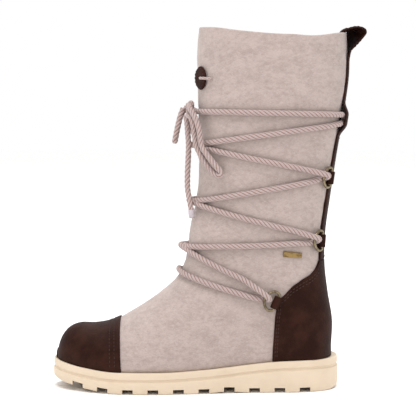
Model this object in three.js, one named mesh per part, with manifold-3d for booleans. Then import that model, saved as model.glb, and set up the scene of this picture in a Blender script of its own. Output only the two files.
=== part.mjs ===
// A felt boot for the left foot, laced round the shaft through D-rings, on a lugged rubber sole.
// The pieces are modelled with x from the heel end of the sole to the toe, y to the outer side
// and z up from the floor, in millimetres.
import * as THREE from 'three';
import { mergeVertices } from 'three/addons/utils/BufferGeometryUtils.js';
import Module from 'manifold-3d';

const wasm = await Module();
wasm.setup();

// Driving dimensions
const SOLE_LENGTH = 272;
const SHAFT_FRONT = 340; // floor to the front of the collar
const SHAFT_BACK = 335;
const FELT = 3.2;
const LEATHER = 1.6;
const GAP = 0.3; // between pieces that meet
const LEDGE = 4.5; // sole edge that shows round the felt
const INSOLE = 3.5;
const TREAD_DEPTH = 4.5;
const INSERT_RECESS = 1.2; // inserts lie this much above the lugs
const CORD = 5.6;
const CORD_LIFT = CORD / 2 + 4 * GAP; // middle of a lace run above the felt
const RING_WIRE = 2.6;
const RING_REACH = 11.5;
const RING_TALL = 18.4;
const STRAP_LOW = { up: 122, half: 21 }; // the back strap tapers from its foot to its top
const STRAP_HIGH = { up: 319.5, half: 14.6 };

// Edge of the sole: half widths to the outer and inner side of the long axis
const SOLE_EDGE = [
  { along: 4, outer: 20, inner: 17.5 },
  { along: 14, outer: 32, inner: 31 },
  { along: 38, outer: 41, inner: 41.8 },
  { along: 64, outer: 42.3, inner: 42.8 },
  { along: 90, outer: 43.4, inner: 37.8 },
  { along: 117, outer: 46.6, inner: 35.2 },
  { along: 140, outer: 49.6, inner: 39.3 },
  { along: 165, outer: 52.4, inner: 48 },
  { along: 190, outer: 52.8, inner: 52.4 },
  { along: 214, outer: 49.2, inner: 52.4 },
  { along: 236, outer: 40.8, inner: 46.4 },
  { along: 256, outer: 28, inner: 33.8 },
  { along: 267.5, outer: 14.5, inner: 20 },
];
const HEEL_TIP = { along: 0, out: 1 };
const TOE_TIP = { along: SOLE_LENGTH, out: -3 };

// Side view of the sole: underside of the lugs and the seat that the upper stands on
const SOLE_PROFILE = [
  { along: -20, ground: 9, seat: 30 },
  { along: 0, ground: 2.5, seat: 30 },
  { along: 13, ground: 0, seat: 30 },
  { along: 55, ground: 0, seat: 29 },
  { along: 84, ground: 0, seat: 26.5 },
  { along: 106, ground: 1.4, seat: 24 },
  { along: 128, ground: 0, seat: 22 },
  { along: 170, ground: 0, seat: 20 },
  { along: 208, ground: 0, seat: 20 },
  { along: 240, ground: 3.4, seat: 22.6 },
  { along: 272, ground: 10, seat: 28 },
  { along: 300, ground: 18, seat: 35 },
];

// Steps of the sole's side from the floor up, each measured from the ground or from the seat
const SOLE_SIDE = [
  { from: 'ground', lift: 0, inset: 1.4 },
  { from: 'ground', lift: 1.6, inset: 0.2 },
  { from: 'ground', lift: TREAD_DEPTH + 2, inset: 0 },
  { from: 'seat', lift: -9.2, inset: 0 },
  { from: 'seat', lift: -8.4, inset: 1.4 },
  { from: 'seat', lift: -6.8, inset: 1.4 },
  { from: 'seat', lift: -6, inset: 0.4 },
  { from: 'seat', lift: 0, inset: 0.8 },
];

// Sections of the last under the instep, toe first. top is the ridge of the foot, low the place
// on the sole that the section runs down to, swell how far the felt stands out past its edge on
// the sole, widest the share of the way down where it is broadest. crown and base say how square
// the section is above and below that (2 is an ellipse), ridge is the top's place to the outer side.
const FOOT = [
  { topX: 265.8, topZ: 35, lowX: 265.8, swell: 0, widest: 0.6, crown: 2, base: 3, ridge: -2.5 },
  { topX: 264, topZ: 42, lowX: 264.4, swell: 0.4, widest: 0.6, crown: 2.1, base: 3, ridge: -2.6 },
  { topX: 260.3, topZ: 49.2, lowX: 261.4, swell: 0.8, widest: 0.6, crown: 2.2, base: 3, ridge: -2.8 },
  { topX: 254.6, topZ: 54.8, lowX: 256.6, swell: 1, widest: 0.6, crown: 2.3, base: 3.2, ridge: -3 },
  { topX: 245.5, topZ: 57.8, lowX: 248.5, swell: 1, widest: 0.62, crown: 2.3, base: 3.4, ridge: -3.4 },
  { topX: 232, topZ: 57.4, lowX: 235, swell: 0.8, widest: 0.64, crown: 2.3, base: 3.6, ridge: -4 },
  { topX: 216, topZ: 60.4, lowX: 219, swell: 0.6, widest: 0.66, crown: 2.2, base: 4, ridge: -5 },
  { topX: 199, topZ: 69.4, lowX: 202, swell: 0.6, widest: 0.68, crown: 2.05, base: 4, ridge: -5.5 },
  { topX: 181, topZ: 81.4, lowX: 181, swell: 1, widest: 0.68, crown: 1.95, base: 4, ridge: -5 },
  { topX: 166.5, topZ: 91.8, lowX: 157, swell: 1.6, widest: 0.66, crown: 1.9, base: 4.4, ridge: -4 },
  { topX: 157.4, topZ: 100, lowX: 131, swell: 2.4, widest: 0.62, crown: 1.9, base: 5, ridge: -2.8 },
  { topX: 150.4, topZ: 110, lowX: 105, swell: 3, widest: 0.58, crown: 1.95, base: 5.5, ridge: -1.8 },
  { topX: 145.6, topZ: 123.5, lowX: 78, swell: 2.8, widest: 0.55, crown: 2, base: 6, ridge: -1 },
  { topX: 142.6, topZ: 140, lowX: 50, swell: 2.4, widest: 0.52, crown: 2.05, base: 6, ridge: -0.5 },
];
const SOLE_UNDERCUT = 8; // the last runs on below the seat, where the felt is cut off

// Sections of the last through heel and leg, up to the collar and one above it. front and back
// are the ends of the slanted section in the side view, half its half width, dip the sag of
// its sides below its ends.
const LEG = [
  { frontX: 140.4, frontZ: 156, backX: 22, backZ: 20.5, half: 40.5, crown: 2.1, base: 5, dip: 0 },
  { frontX: 137.6, frontZ: 168, backX: 9.6, backZ: 21, half: 41, crown: 2.1, base: 3.4, dip: 0 },
  { frontX: 135.2, frontZ: 179, backX: 8, backZ: 40, half: 41, crown: 2.1, base: 2.5, dip: 0 },
  { frontX: 133.4, frontZ: 192, backX: 7.2, backZ: 64, half: 41.5, crown: 2.15, base: 2.3, dip: 0 },
  { frontX: 132.6, frontZ: 208, backX: 11.4, backZ: 90, half: 42.5, crown: 2.2, base: 2.2, dip: 0 },
  { frontX: 132.4, frontZ: 225, backX: 14.6, backZ: 118, half: 44, crown: 2.2, base: 2.2, dip: 0 },
  { frontX: 132.6, frontZ: 243, backX: 14, backZ: 148, half: 45.5, crown: 2.2, base: 2.2, dip: 0 },
  { frontX: 133, frontZ: 261, backX: 9.6, backZ: 182, half: 46.5, crown: 2.2, base: 2.2, dip: 0 },
  { frontX: 133.4, frontZ: 280, backX: 4, backZ: 220, half: 47.5, crown: 2.2, base: 2.2, dip: 0 },
  { frontX: 133.8, frontZ: 300, backX: -2, backZ: 256, half: 48.5, crown: 2.2, base: 2.2, dip: 1 },
  { frontX: 134, frontZ: 320, backX: -7.6, backZ: 297, half: 49.5, crown: 2.2, base: 2.2, dip: 4 },
  {
    frontX: 132.6, frontZ: SHAFT_FRONT, backX: -7, backZ: SHAFT_BACK, half: 50, crown: 2.2, base: 2.2, dip: 8,
  },
  { frontX: 131.6, frontZ: 360, backX: -6, backZ: 372, half: 50, crown: 2.2, base: 2.2, dip: 8 },
];
const COLLAR_ROW = FOOT.length + LEG.length - 2;

// Rings on either side: place of the bar in the side view, slope of the ring, and how far it leans out
const RINGS = [
  { name: 'low', along: 61.5, up: 85, slope: 24, tilt: 8 },
  { name: 'mid', along: 20.4, up: 141, slope: 4, tilt: -10 },
  { name: 'high', along: 12.6, up: 200.5, slope: 8, tilt: -8 },
];
const RING_LIFT = 4; // bar above the felt
const TAB_WIDTH = 12;

// Lace runs stop short of the rings at these places in the side view
const LACE_STOPS = {
  lowUnder: { along: 77.4, up: 88 },
  lowOver: { along: 74, up: 98.5 },
  midUnder: { along: 34.6, up: 140.5 },
  midOver: { along: 33.6, up: 148.5 },
  highUnder: { along: 25, up: 198 },
  highOver: { along: 26, up: 206.5 },
};
const LACE_FRONT = { bar: 111.5, low: 134, mid: 176.5, high: 230.5, knot: 262 };
const TUNNEL_UP = 255;
const TUNNEL_EDGE = { turn: 2.85, low: 250.9, high: 259.1 }; // where the lace goes in and comes out

const feltGrey = { color: 0xc4b4aa, roughness: 0.95, metalness: 0 };
const leatherBrown = { color: 0x3a2623, roughness: 0.5, metalness: 0 };
const rubberCream = { color: 0xeedfc8, roughness: 0.7, metalness: 0 };
const gumAmber = { color: 0xa56e3c, roughness: 0.45, metalness: 0 };
const ringBrass = { color: 0x8c7850, roughness: 0.4, metalness: 1 };
const cordPink = { color: 0xc8aca0, roughness: 0.9, metalness: 0 };

const boot = new THREE.Group();
const hung = []; // cords, which don't set the origin

function addPiece(name, geometry, finish) {
  const mesh = new THREE.Mesh(geometry, new THREE.MeshStandardMaterial(finish));
  mesh.name = name;
  boot.add(mesh);
  return mesh;
}

function addCord(name, geometry) {
  hung.push(addPiece(name, geometry, cordPink));
}

// Solids and geometries

function solid(geometry) {
  const bare = geometry.clone();
  bare.deleteAttribute('normal');
  bare.deleteAttribute('uv');
  const welded = mergeVertices(bare, 1e-4);
  return new wasm.Manifold(new wasm.Mesh({
    numProp: 3,
    vertProperties: new Float32Array(welded.attributes.position.array),
    triVerts: new Uint32Array(welded.index.array),
  }));
}

const FINENESS = 0.02; // steps in a surface below this are smoothed away
function geometryOf(body) {
  const mesh = body.asOriginal().simplify(FINENESS).getMesh();
  const geometry = new THREE.BufferGeometry();
  geometry.setAttribute('position', new THREE.BufferAttribute(mesh.vertProperties, 3));
  geometry.setIndex(new THREE.BufferAttribute(mesh.triVerts, 1));
  geometry.computeVertexNormals();
  return geometry;
}

function meshOf(points, triangles) {
  const geometry = new THREE.BufferGeometry().setFromPoints(points);
  geometry.setIndex(triangles.flat());
  geometry.computeVertexNormals();
  return geometry;
}

const WIDE = 400; // reach of a cutting prism across the boot
const SIDE_VIEW = new THREE.Matrix4().makeBasis(
  new THREE.Vector3(1, 0, 0), new THREE.Vector3(0, 0, 1), new THREE.Vector3(0, -1, 0));
const BACK_VIEW = new THREE.Matrix4().makeBasis(
  new THREE.Vector3(0, 1, 0), new THREE.Vector3(0, 0, 1), new THREE.Vector3(1, 0, 0));

function prism(outline, view, depth = WIDE, start = -WIDE / 2) {
  const geometry = new THREE.ExtrudeGeometry(outline, { depth, bevelEnabled: false });
  geometry.translate(0, 0, start);
  return solid(view ? geometry.applyMatrix4(view) : geometry);
}

function shapeThrough(points) {
  return new THREE.Shape(points.map(([x, y]) => new THREE.Vector2(x, y)));
}

function smoothShape(points, steps) {
  const curve = new THREE.CatmullRomCurve3(points.map(([x, y]) => new THREE.Vector3(x, y, 0)), true);
  return shapeThrough(curve.getSpacedPoints(steps).slice(0, -1).map((p) => [p.x, p.y]));
}

// A plate between two equal grids of points, closed round its border
function plate(near, far) {
  const rows = near.length;
  const columns = near[0].length;
  const at = (row, column) => row * columns + column;
  const shift = rows * columns;
  const triangles = [];
  const quad = (a, b, c, d) => triangles.push([a, b, c], [a, c, d]);
  for (let i = 0; i + 1 < rows; i++) {
    for (let k = 0; k + 1 < columns; k++) {
      quad(at(i, k), at(i, k + 1), at(i + 1, k + 1), at(i + 1, k));
      quad(shift + at(i, k), shift + at(i + 1, k), shift + at(i + 1, k + 1), shift + at(i, k + 1));
    }
    quad(at(i + 1, 0), shift + at(i + 1, 0), shift + at(i, 0), at(i, 0));
    const edge = at(i, columns - 1);
    quad(edge, shift + edge, shift + edge + columns, edge + columns);
  }
  for (let k = 0; k + 1 < columns; k++) {
    quad(at(0, k), shift + at(0, k), shift + at(0, k + 1), at(0, k + 1));
    quad(at(rows - 1, k + 1), shift + at(rows - 1, k + 1), shift + at(rows - 1, k), at(rows - 1, k));
  }
  return facingOut([...near.flat(), ...far.flat()], triangles);
}

function facingOut(points, triangles) {
  const volume = triangles.reduce(
    (sum, [a, b, c]) => sum + points[a].dot(points[b].clone().cross(points[c])), 0);
  return meshOf(points, volume > 0 ? triangles : triangles.map(([a, b, c]) => [a, c, b]));
}

// Tables

// Value of one column between rows, along a smooth curve with no overshoot
function along(table, column, x) {
  const last = table.length - 2;
  let i = table.findIndex((row) => row.along > x) - 1;
  if (i < 0) i = x < table[0].along ? 0 : last;
  const slope = (k) => (table[k + 1][column] - table[k][column]) / (table[k + 1].along - table[k].along);
  const tangent = (k) => {
    if (k === 0 || k === table.length - 1) return slope(k === 0 ? 0 : last);
    const before = slope(k - 1);
    const after = slope(k);
    return before * after <= 0 ? 0 : 2 * before * after / (before + after);
  };
  const span = table[i + 1].along - table[i].along;
  const t = THREE.MathUtils.clamp((x - table[i].along) / span, 0, 1);
  const rise = t * t * (3 - 2 * t);
  return table[i][column] * (1 - rise) + table[i + 1][column] * rise
    + span * t * (1 - t) * ((1 - t) * tangent(i) - t * tangent(i + 1));
}

const ground = (x) => along(SOLE_PROFILE, 'ground', x);
const seat = (x) => along(SOLE_PROFILE, 'seat', x);

// Sole edge

const EDGE_POINTS = 52;
const edgeCurve = new THREE.CatmullRomCurve3([
  new THREE.Vector3(HEEL_TIP.along, HEEL_TIP.out, 0),
  ...SOLE_EDGE.map((row) => new THREE.Vector3(row.along, -row.inner, 0)),
  new THREE.Vector3(TOE_TIP.along, TOE_TIP.out, 0),
  ...SOLE_EDGE.toReversed().map((row) => new THREE.Vector3(row.along, row.outer, 0)),
], true);

function soleEdge(inset, count = EDGE_POINTS) {
  return Array.from({ length: count }, (_, k) => {
    const tangent = edgeCurve.getTangentAt(k / count);
    const inward = new THREE.Vector3(-tangent.y, tangent.x, 0);
    return edgeCurve.getPointAt(k / count).addScaledVector(inward, inset);
  });
}

// Half width of the edge on one side, with the edge moved in by inset
const FINE_EDGE = 360;
const featherEdge = soleEdge(LEDGE, FINE_EDGE);
function feather(x, side) {
  const chain = featherEdge.filter((p) => Math.sign(p.y - TOE_TIP.out * p.x / SOLE_LENGTH) === side);
  const near = chain.reduce((best, p) => (Math.abs(p.x - x) < Math.abs(best.x - x) ? p : best));
  return near.y * side;
}

// The last, as one function of the row along it and the turn round it

const rows = [
  ...FOOT.map((row) => ({
    frontX: row.topX,
    frontZ: row.topZ,
    backX: row.lowX,
    backZ: seat(row.lowX) - SOLE_UNDERCUT,
    outer: feather(row.lowX, 1) + row.swell,
    inner: feather(row.lowX, -1) + row.swell,
    widest: row.widest,
    crown: row.crown,
    base: row.base,
    ridge: row.ridge,
    dip: 0,
  })),
  ...LEG.map((row) => ({ ...row, outer: row.half, inner: row.half, widest: 0.5, ridge: 0 })),
];

const COLUMNS = [
  'frontX', 'frontZ', 'backX', 'backZ', 'outer', 'inner', 'widest', 'crown', 'base', 'ridge', 'dip',
];

function rowAt(place) {
  const i = THREE.MathUtils.clamp(Math.floor(place), 0, rows.length - 2);
  const t = place - i;
  const [a, b, c, d] = [-1, 0, 1, 2].map((k) => rows[THREE.MathUtils.clamp(i + k, 0, rows.length - 1)]);
  const mix = (column) => 0.5 * (2 * b[column] + (c[column] - a[column]) * t
    + (2 * a[column] - 5 * b[column] + 4 * c[column] - d[column]) * t * t
    + (3 * b[column] - a[column] - 3 * c[column] + d[column]) * t * t * t);
  return Object.fromEntries(COLUMNS.map((column) => [column, mix(column)]));
}

// Turn 0 is the front or top, a quarter turn the outer side, half a turn the back or the sole
function lastPoint(place, turn) {
  const row = rowAt(place);
  const front = Math.cos(turn) > 0;
  const power = 2 / (front ? row.crown : row.base);
  const reach = Math.abs(Math.cos(turn)) ** power;
  const side = Math.sign(Math.sin(turn)) * Math.abs(Math.sin(turn)) ** power;
  const share = front ? row.widest * (1 - reach) : row.widest + (1 - row.widest) * reach;
  return new THREE.Vector3(
    row.frontX + (row.backX - row.frontX) * share,
    side * (side > 0 ? row.outer : row.inner) + (front ? row.ridge * reach : 0),
    row.frontZ + (row.backZ - row.frontZ) * share - row.dip * Math.sin(turn) ** 2);
}

const STEP = 0.02;
function lastNormal(place, turn) {
  const before = Math.max(place - STEP, 0);
  const after = Math.min(place + STEP, rows.length - 1);
  const up = lastPoint(after, turn).sub(lastPoint(before, turn));
  const round = lastPoint(place, turn + STEP).sub(lastPoint(place, turn - STEP));
  return round.cross(up).normalize();
}

function lastOffset(place, turn, lift) {
  return lastPoint(place, turn).addScaledVector(lastNormal(place, turn), lift);
}

const AROUND = 24;
const LONG_STEP = 32; // rows further apart than this get a section between them

function sectionPlaces(end) {
  const places = [];
  for (let i = 0; i < end; i++) {
    places.push(i);
    if (lastPoint(i, 0).distanceTo(lastPoint(i + 1, 0)) > LONG_STEP
      || lastPoint(i, Math.PI).distanceTo(lastPoint(i + 1, Math.PI)) > LONG_STEP) places.push(i + 0.5);
  }
  return [...places, end];
}

// Closed body of the last, moved out by lift, from the toe to one row
function lastForm(lift, end) {
  const places = sectionPlaces(end);
  const points = places.flatMap((place) => Array.from({ length: AROUND },
    (_, k) => lastOffset(place, 2 * Math.PI * k / AROUND, lift)));
  const middle = (first) => points.slice(first, first + AROUND)
    .reduce((sum, p) => sum.add(p), new THREE.Vector3()).divideScalar(AROUND);
  const top = (places.length - 1) * AROUND;
  points.push(middle(0), middle(top));
  const triangles = [];
  for (let k = 0; k < AROUND; k++) {
    const next = (k + 1) % AROUND;
    for (let i = 0; i < top; i += AROUND) {
      const over = i + AROUND;
      triangles.push([i + k, i + next, over + next], [i + k, over + next, over + k]);
    }
    triangles.push([points.length - 2, next, k], [points.length - 1, top + k, top + next]);
  }
  return solid(meshOf(points, triangles));
}

// Place on the leg or instep at one height and turn
const INSTEP_ROW = 8;
const HALVINGS = 40;
function placeAt(up, turn) {
  let low = INSTEP_ROW;
  let high = rows.length - 1;
  for (let i = 0; i < HALVINGS; i++) {
    const middle = (low + high) / 2;
    if (lastPoint(middle, turn).z < up) low = middle;
    else high = middle;
  }
  return low;
}

function legPoint(up, turn, lift) {
  return lastOffset(placeAt(up, turn), turn, lift);
}

// Turn on one side at which the side view shows a point
function turnAt(x, up, side) {
  let front = 0;
  let back = Math.PI;
  for (let i = 0; i < HALVINGS; i++) {
    const middle = (front + back) / 2;
    if (legPoint(up, side * middle, 0).x > x) front = middle;
    else back = middle;
  }
  return side * front;
}

// Profiles in the side view, cut or kept across the boot

const PROFILE_STEP = 8;
const PROFILE_STEPS = 40;
const PROFILE_START = -20;
function band(lower, upper) {
  const xs = Array.from({ length: PROFILE_STEPS + 1 }, (_, k) => PROFILE_START + PROFILE_STEP * k);
  return prism(shapeThrough([
    ...xs.map((x) => [x, lower(x)]),
    ...xs.toReversed().map((x) => [x, upper(x)]),
  ]), SIDE_VIEW);
}

const BELOW = -40;
const underSeat = band(() => BELOW, (x) => seat(x) + GAP);

// Upper
const upper = lastForm(0, COLLAR_ROW)
  .subtract(lastForm(-FELT, COLLAR_ROW + 1))
  .subtract(underSeat);
addPiece('upper', geometryOf(upper), feltGrey);

// Insole
const insole = lastForm(-FELT - 2 * GAP, COLLAR_ROW)
  .intersect(band((x) => seat(x) + GAP, (x) => seat(x) + GAP + INSOLE));
addPiece('insole', geometryOf(insole), feltGrey);

// Outsole

function soleBody() {
  const points = SOLE_SIDE.flatMap((step) => soleEdge(step.inset).map((p) => {
    const base = step.from === 'ground' ? ground(p.x) : seat(p.x);
    return new THREE.Vector3(p.x, p.y, base + step.lift);
  }));
  const top = (SOLE_SIDE.length - 1) * EDGE_POINTS;
  const triangles = [];
  for (let k = 0; k < EDGE_POINTS; k++) {
    const next = (k + 1) % EDGE_POINTS;
    for (let i = 0; i < top; i += EDGE_POINTS) {
      const over = i + EDGE_POINTS;
      triangles.push([i + k, i + next, over + next], [i + k, over + next, over + k]);
    }
  }
  // Both faces are strips between the inner and the outer edge, from heel to toe
  const flat = (a, b, c) => triangles.push([a, c, b], [top + a, top + b, top + c]);
  let a = 1;
  let b = EDGE_POINTS - 1;
  flat(0, a, b);
  while (b - a > 1) {
    if (points[a + 1].x < points[b - 1].x) {
      flat(a, a + 1, b);
      a += 1;
    } else {
      flat(a, b - 1, b);
      b -= 1;
    }
  }
  return solid(meshOf(points, triangles));
}

const LUG_DEPTH = 20.5;
const LUG_PITCH = 23.65;
const LUG_GAP = 10;
const LUG_ROWS = [{ side: 1, first: 33.6 }, { side: -1, first: 37.8 }];
const LUG_GAPS = 10;
const HEEL_CRESCENT = { edge: 32, hollow: 22.5, half: 20 };
const TOE_CRESCENT = { edge: 246, hollow: 250 };

// Hollow between the lugs and the two end crescents, with a gap between each two lugs
function treadHollow() {
  const start = HEEL_CRESCENT.edge + 2;
  const end = TOE_CRESCENT.edge - 2;
  const inner = soleEdge(LUG_DEPTH).filter((p) => p.x > start && p.x < end);
  const right = inner.filter((p) => p.y < 0).sort((p, q) => p.x - q.x);
  const left = inner.filter((p) => p.y >= 0).sort((p, q) => q.x - p.x);
  const heelArc = [0.8, 0.4, 0, -0.4, -0.8].map((share) => [
    HEEL_CRESCENT.hollow + (HEEL_CRESCENT.edge - HEEL_CRESCENT.hollow) * share ** 2,
    HEEL_CRESCENT.half * share,
  ]);
  const outline = shapeThrough([
    ...heelArc,
    ...right.map((p) => [p.x, p.y]),
    [TOE_CRESCENT.hollow, TOE_TIP.out],
    ...left.map((p) => [p.x, p.y]),
  ]);
  let hollow = prism(outline, null);
  for (const { side, first } of LUG_ROWS) {
    for (let k = 0; k < LUG_GAPS; k++) {
      const x = first + LUG_PITCH * k;
      const mouth = side * (feather(x, side) + LEDGE - LUG_DEPTH - LUG_GAP / 2);
      const gap = shapeThrough([
        [x - LUG_GAP / 2, mouth],
        [x + LUG_GAP / 2, mouth],
        [x + LUG_GAP / 2, side * WIDE],
        [x - LUG_GAP / 2, side * WIDE],
      ]);
      hollow = hollow.add(prism(gap, null));
    }
  }
  return hollow.intersect(band(() => BELOW, (x) => ground(x) + TREAD_DEPTH));
}

addPiece('outsole', geometryOf(soleBody().subtract(treadHollow())), rubberCream);

// Gum inserts in the hollow of the tread

// A bar of even width along a bent middle line, with round corners
function barOutline(line, half) {
  const left = line.map(([x, y]) => [x, y + half]);
  const right = line.map(([x, y]) => [x, y - half]).toReversed();
  return [...left, ...right];
}

const INSERTS = [
  {
    name: 'insert_heel_shield',
    steps: 18,
    outline: [[25, 7], [30, 10.5], [41, 3], [44, -3], [41, -7], [32, -14], [27, -11], [24, -2]],
  },
  {
    name: 'insert_heel_block',
    steps: 30,
    outline: [[39, 14], [52, 17.5], [80, 17.5], [85, 14], [85.5, 0], [86, -12], [81, -15], [62, -18],
      [43, -19.5], [41, -16], [48, -9], [50, -3], [47, 5], [40, 10]],
  },
  {
    name: 'insert_strip_outer',
    steps: 24,
    outline: barOutline([[134, 17.6], [155, 21.5], [175, 23.2], [195, 22.2], [214, 18.4]], 4.6),
  },
  {
    name: 'insert_strip_inner',
    steps: 24,
    outline: barOutline([[134.5, -9.8], [154, -15], [174, -21], [192, -23.8], [211, -23]], 4.4),
  },
  {
    name: 'insert_ball_pad',
    steps: 26,
    outline: [[145, 4.5], [147, 9], [156, 12.2], [173, 13.8], [190, 12.8], [207, 10.5], [210.5, 6], [210, -8],
      [207, -13], [196, -14], [184, -12.6], [167, -8.6], [150, -2.4]],
  },
  {
    name: 'insert_toe',
    steps: 22,
    outline: [[218, 14], [223, 17], [231, 13.6], [238.5, 5], [241.5, -5], [238.5, -14], [230, -21.5],
      [220, -24.5], [216.5, -20], [215.5, -5]],
  },
];
const insertBand = band((x) => ground(x) + INSERT_RECESS, (x) => ground(x) + TREAD_DEPTH - GAP);
for (const { name, steps, outline } of INSERTS) {
  addPiece(name, geometryOf(prism(smoothShape(outline, steps), null).intersect(insertBand)), gumAmber);
}

// Leather skin over the felt, from which the overlays are cut
const skin = lastForm(GAP + LEATHER, COLLAR_ROW)
  .subtract(lastForm(GAP, COLLAR_ROW + 1))
  .subtract(underSeat);

// Toe cap
const CAP_EDGE = { top: 207.5, side: 205, topUp: 70, sideUp: 20 };
const capSide = shapeThrough([
  [CAP_EDGE.top, CAP_EDGE.topUp],
  [CAP_EDGE.side, CAP_EDGE.sideUp],
  [CAP_EDGE.side, BELOW],
  [SOLE_LENGTH + 20, BELOW],
  [SOLE_LENGTH + 20, CAP_EDGE.topUp],
]);
addPiece('toe_cap', geometryOf(skin.intersect(prism(capSide, SIDE_VIEW))), leatherBrown);

// Rings and the sleeves that hold them

function ringFrame(ring, side) {
  const turn = turnAt(ring.along, ring.up, side);
  const place = placeAt(ring.up, turn);
  const normal = lastNormal(place, turn);
  const slope = THREE.MathUtils.degToRad(ring.slope);
  const tilt = THREE.MathUtils.degToRad(ring.tilt);
  const ahead = new THREE.Vector3(Math.cos(slope), 0, Math.sin(slope));
  ahead.projectOnPlane(normal).normalize();
  const bar = new THREE.Vector3().crossVectors(normal, ahead);
  const reach = ahead.multiplyScalar(Math.cos(tilt)).addScaledVector(normal, Math.sin(tilt));
  const face = new THREE.Vector3().crossVectors(reach, bar);
  return new THREE.Matrix4().makeBasis(reach, bar, face).setPosition(lastOffset(place, turn, RING_LIFT));
}

// Middle line of the wire, in shares of the ring's reach and half height
const RING_LINE = [
  [0, -0.86], [0, -0.4], [0, 0.4], [0, 0.86], [0.4, 1], [0.83, 0.6], [1, 0], [0.83, -0.6], [0.4, -1],
];
const ringCurve = new THREE.CatmullRomCurve3(
  RING_LINE.map(([x, y]) => new THREE.Vector3(x * RING_REACH, y * RING_TALL / 2, 0)), true);
const ringGeometry = geometryOf(solid(new THREE.TubeGeometry(ringCurve, 12, RING_WIRE / 2, 6, true)));

const SLEEVE_BORE = RING_WIRE / 2 + 2 * GAP;
function barRod(frame, radius, length) {
  return solid(new THREE.CylinderGeometry(radius, radius, length, 8).applyMatrix4(frame));
}

const SIDES = [{ word: 'outer', sign: 1 }, { word: 'inner', sign: -1 }];
const ringFrames = {};
for (const ring of RINGS) {
  for (const { word, sign } of SIDES) {
    const frame = ringFrame(ring, sign);
    addPiece(`ring_${word}_${ring.name}`, ringGeometry, ringBrass).applyMatrix4(frame);
    ringFrames[`${word}_${ring.name}`] = frame;
  }
}

function withSleeves(body, names) {
  const rods = (radius, length) => names.map((name) => barRod(ringFrames[name], radius, length));
  const sleeved = rods(SLEEVE_BORE + LEATHER, TAB_WIDTH).reduce((sum, rod) => sum.add(rod), body);
  return rods(SLEEVE_BORE, RING_TALL).reduce((sum, rod) => sum.subtract(rod), sleeved);
}

// Heel counter, with a tab to each low ring
const counterSide = shapeThrough([
  [-20, BELOW], [65, BELOW], [62, 70], [61, 76.5],
  [63.6, 78.4], [59.2, 91], [53.6, 88.6],
  [46, 99.5], [37, 105.5], [29, 109.6], [24.8, 113.8], [22.2, 118], [20.6, STRAP_LOW.up], [-20, STRAP_LOW.up],
]);
const counter = skin.intersect(prism(counterSide, SIDE_VIEW));
addPiece('heel_counter', geometryOf(withSleeves(counter, ['outer_low', 'inner_low'])), leatherBrown);

// Back strap, with ears at the rings and a raised stretch that the cord runs under
const STRAP_SHARES = [-1, -0.5, 0, 0.5, 1];
const EAR_REACH = 3;
const EAR_SLANT = 3;
const TUNNEL = { lift: CORD_LIFT + CORD / 2 + GAP, flat: 8, ramp: 9, overlap: 4 };
const EAR_LEVELS = RINGS.slice(1).map((ring) => ring.up);

function strapHalf(up) {
  const rise = (up - STRAP_LOW.up) / (STRAP_HIGH.up - STRAP_LOW.up);
  return STRAP_LOW.half + (STRAP_HIGH.half - STRAP_LOW.half) * rise;
}

function strapOutline() {
  const foot = STRAP_LOW.up + GAP;
  const edge = [[strapHalf(foot), foot]];
  for (const up of EAR_LEVELS) {
    const low = up - TAB_WIDTH / 2;
    const high = up + TAB_WIDTH / 2;
    edge.push([strapHalf(low - EAR_SLANT), low - EAR_SLANT], [strapHalf(low) + EAR_REACH, low]);
    edge.push([strapHalf(high) + EAR_REACH, high], [strapHalf(high + EAR_SLANT), high + EAR_SLANT]);
  }
  edge.push([STRAP_HIGH.half, STRAP_HIGH.up]);
  return shapeThrough([...edge, ...edge.toReversed().map(([y, z]) => [-y, z])]);
}

// Back of the shaft at one height, so far to the side of its middle
function backPoint(up, out, lift) {
  let near = Math.PI;
  let far = Math.PI / 2;
  for (let i = 0; i < HALVINGS; i++) {
    const middle = (near + far) / 2;
    if (legPoint(up, middle, 0).y < Math.abs(out)) near = middle;
    else far = middle;
  }
  return legPoint(up, out < 0 ? -near : near, lift);
}

function tunnelLift(up) {
  const away = Math.max(Math.abs(up - TUNNEL_UP) - TUNNEL.flat, 0) / TUNNEL.ramp;
  return GAP + TUNNEL.lift * (0.5 + 0.5 * Math.cos(Math.PI * Math.min(away, 1)));
}

function tunnelArch() {
  const reach = TUNNEL.flat + TUNNEL.ramp + TUNNEL.overlap;
  const levels = Array.from({ length: 9 }, (_, k) => TUNNEL_UP + reach * (k / 4 - 1));
  const grid = (extra) => levels.map(
    (up) => STRAP_SHARES.map((share) => backPoint(up, share * strapHalf(up), tunnelLift(up) + extra)));
  return solid(plate(grid(0), grid(LEATHER)));
}

const LEG_MIDDLE = 70;
const strapSkin = skin.intersect(prism(strapOutline(), BACK_VIEW, WIDE, LEG_MIDDLE - WIDE));
const tunnelReach = TUNNEL.flat + TUNNEL.ramp;
const tunnelBay = band(() => TUNNEL_UP - tunnelReach, () => TUNNEL_UP + tunnelReach);
const strap = strapSkin.subtract(tunnelBay).add(tunnelArch());
const strapRings = ['outer_mid', 'inner_mid', 'outer_high', 'inner_high'];
addPiece('back_strap', geometryOf(withSleeves(strap, strapRings)), leatherBrown);

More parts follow.
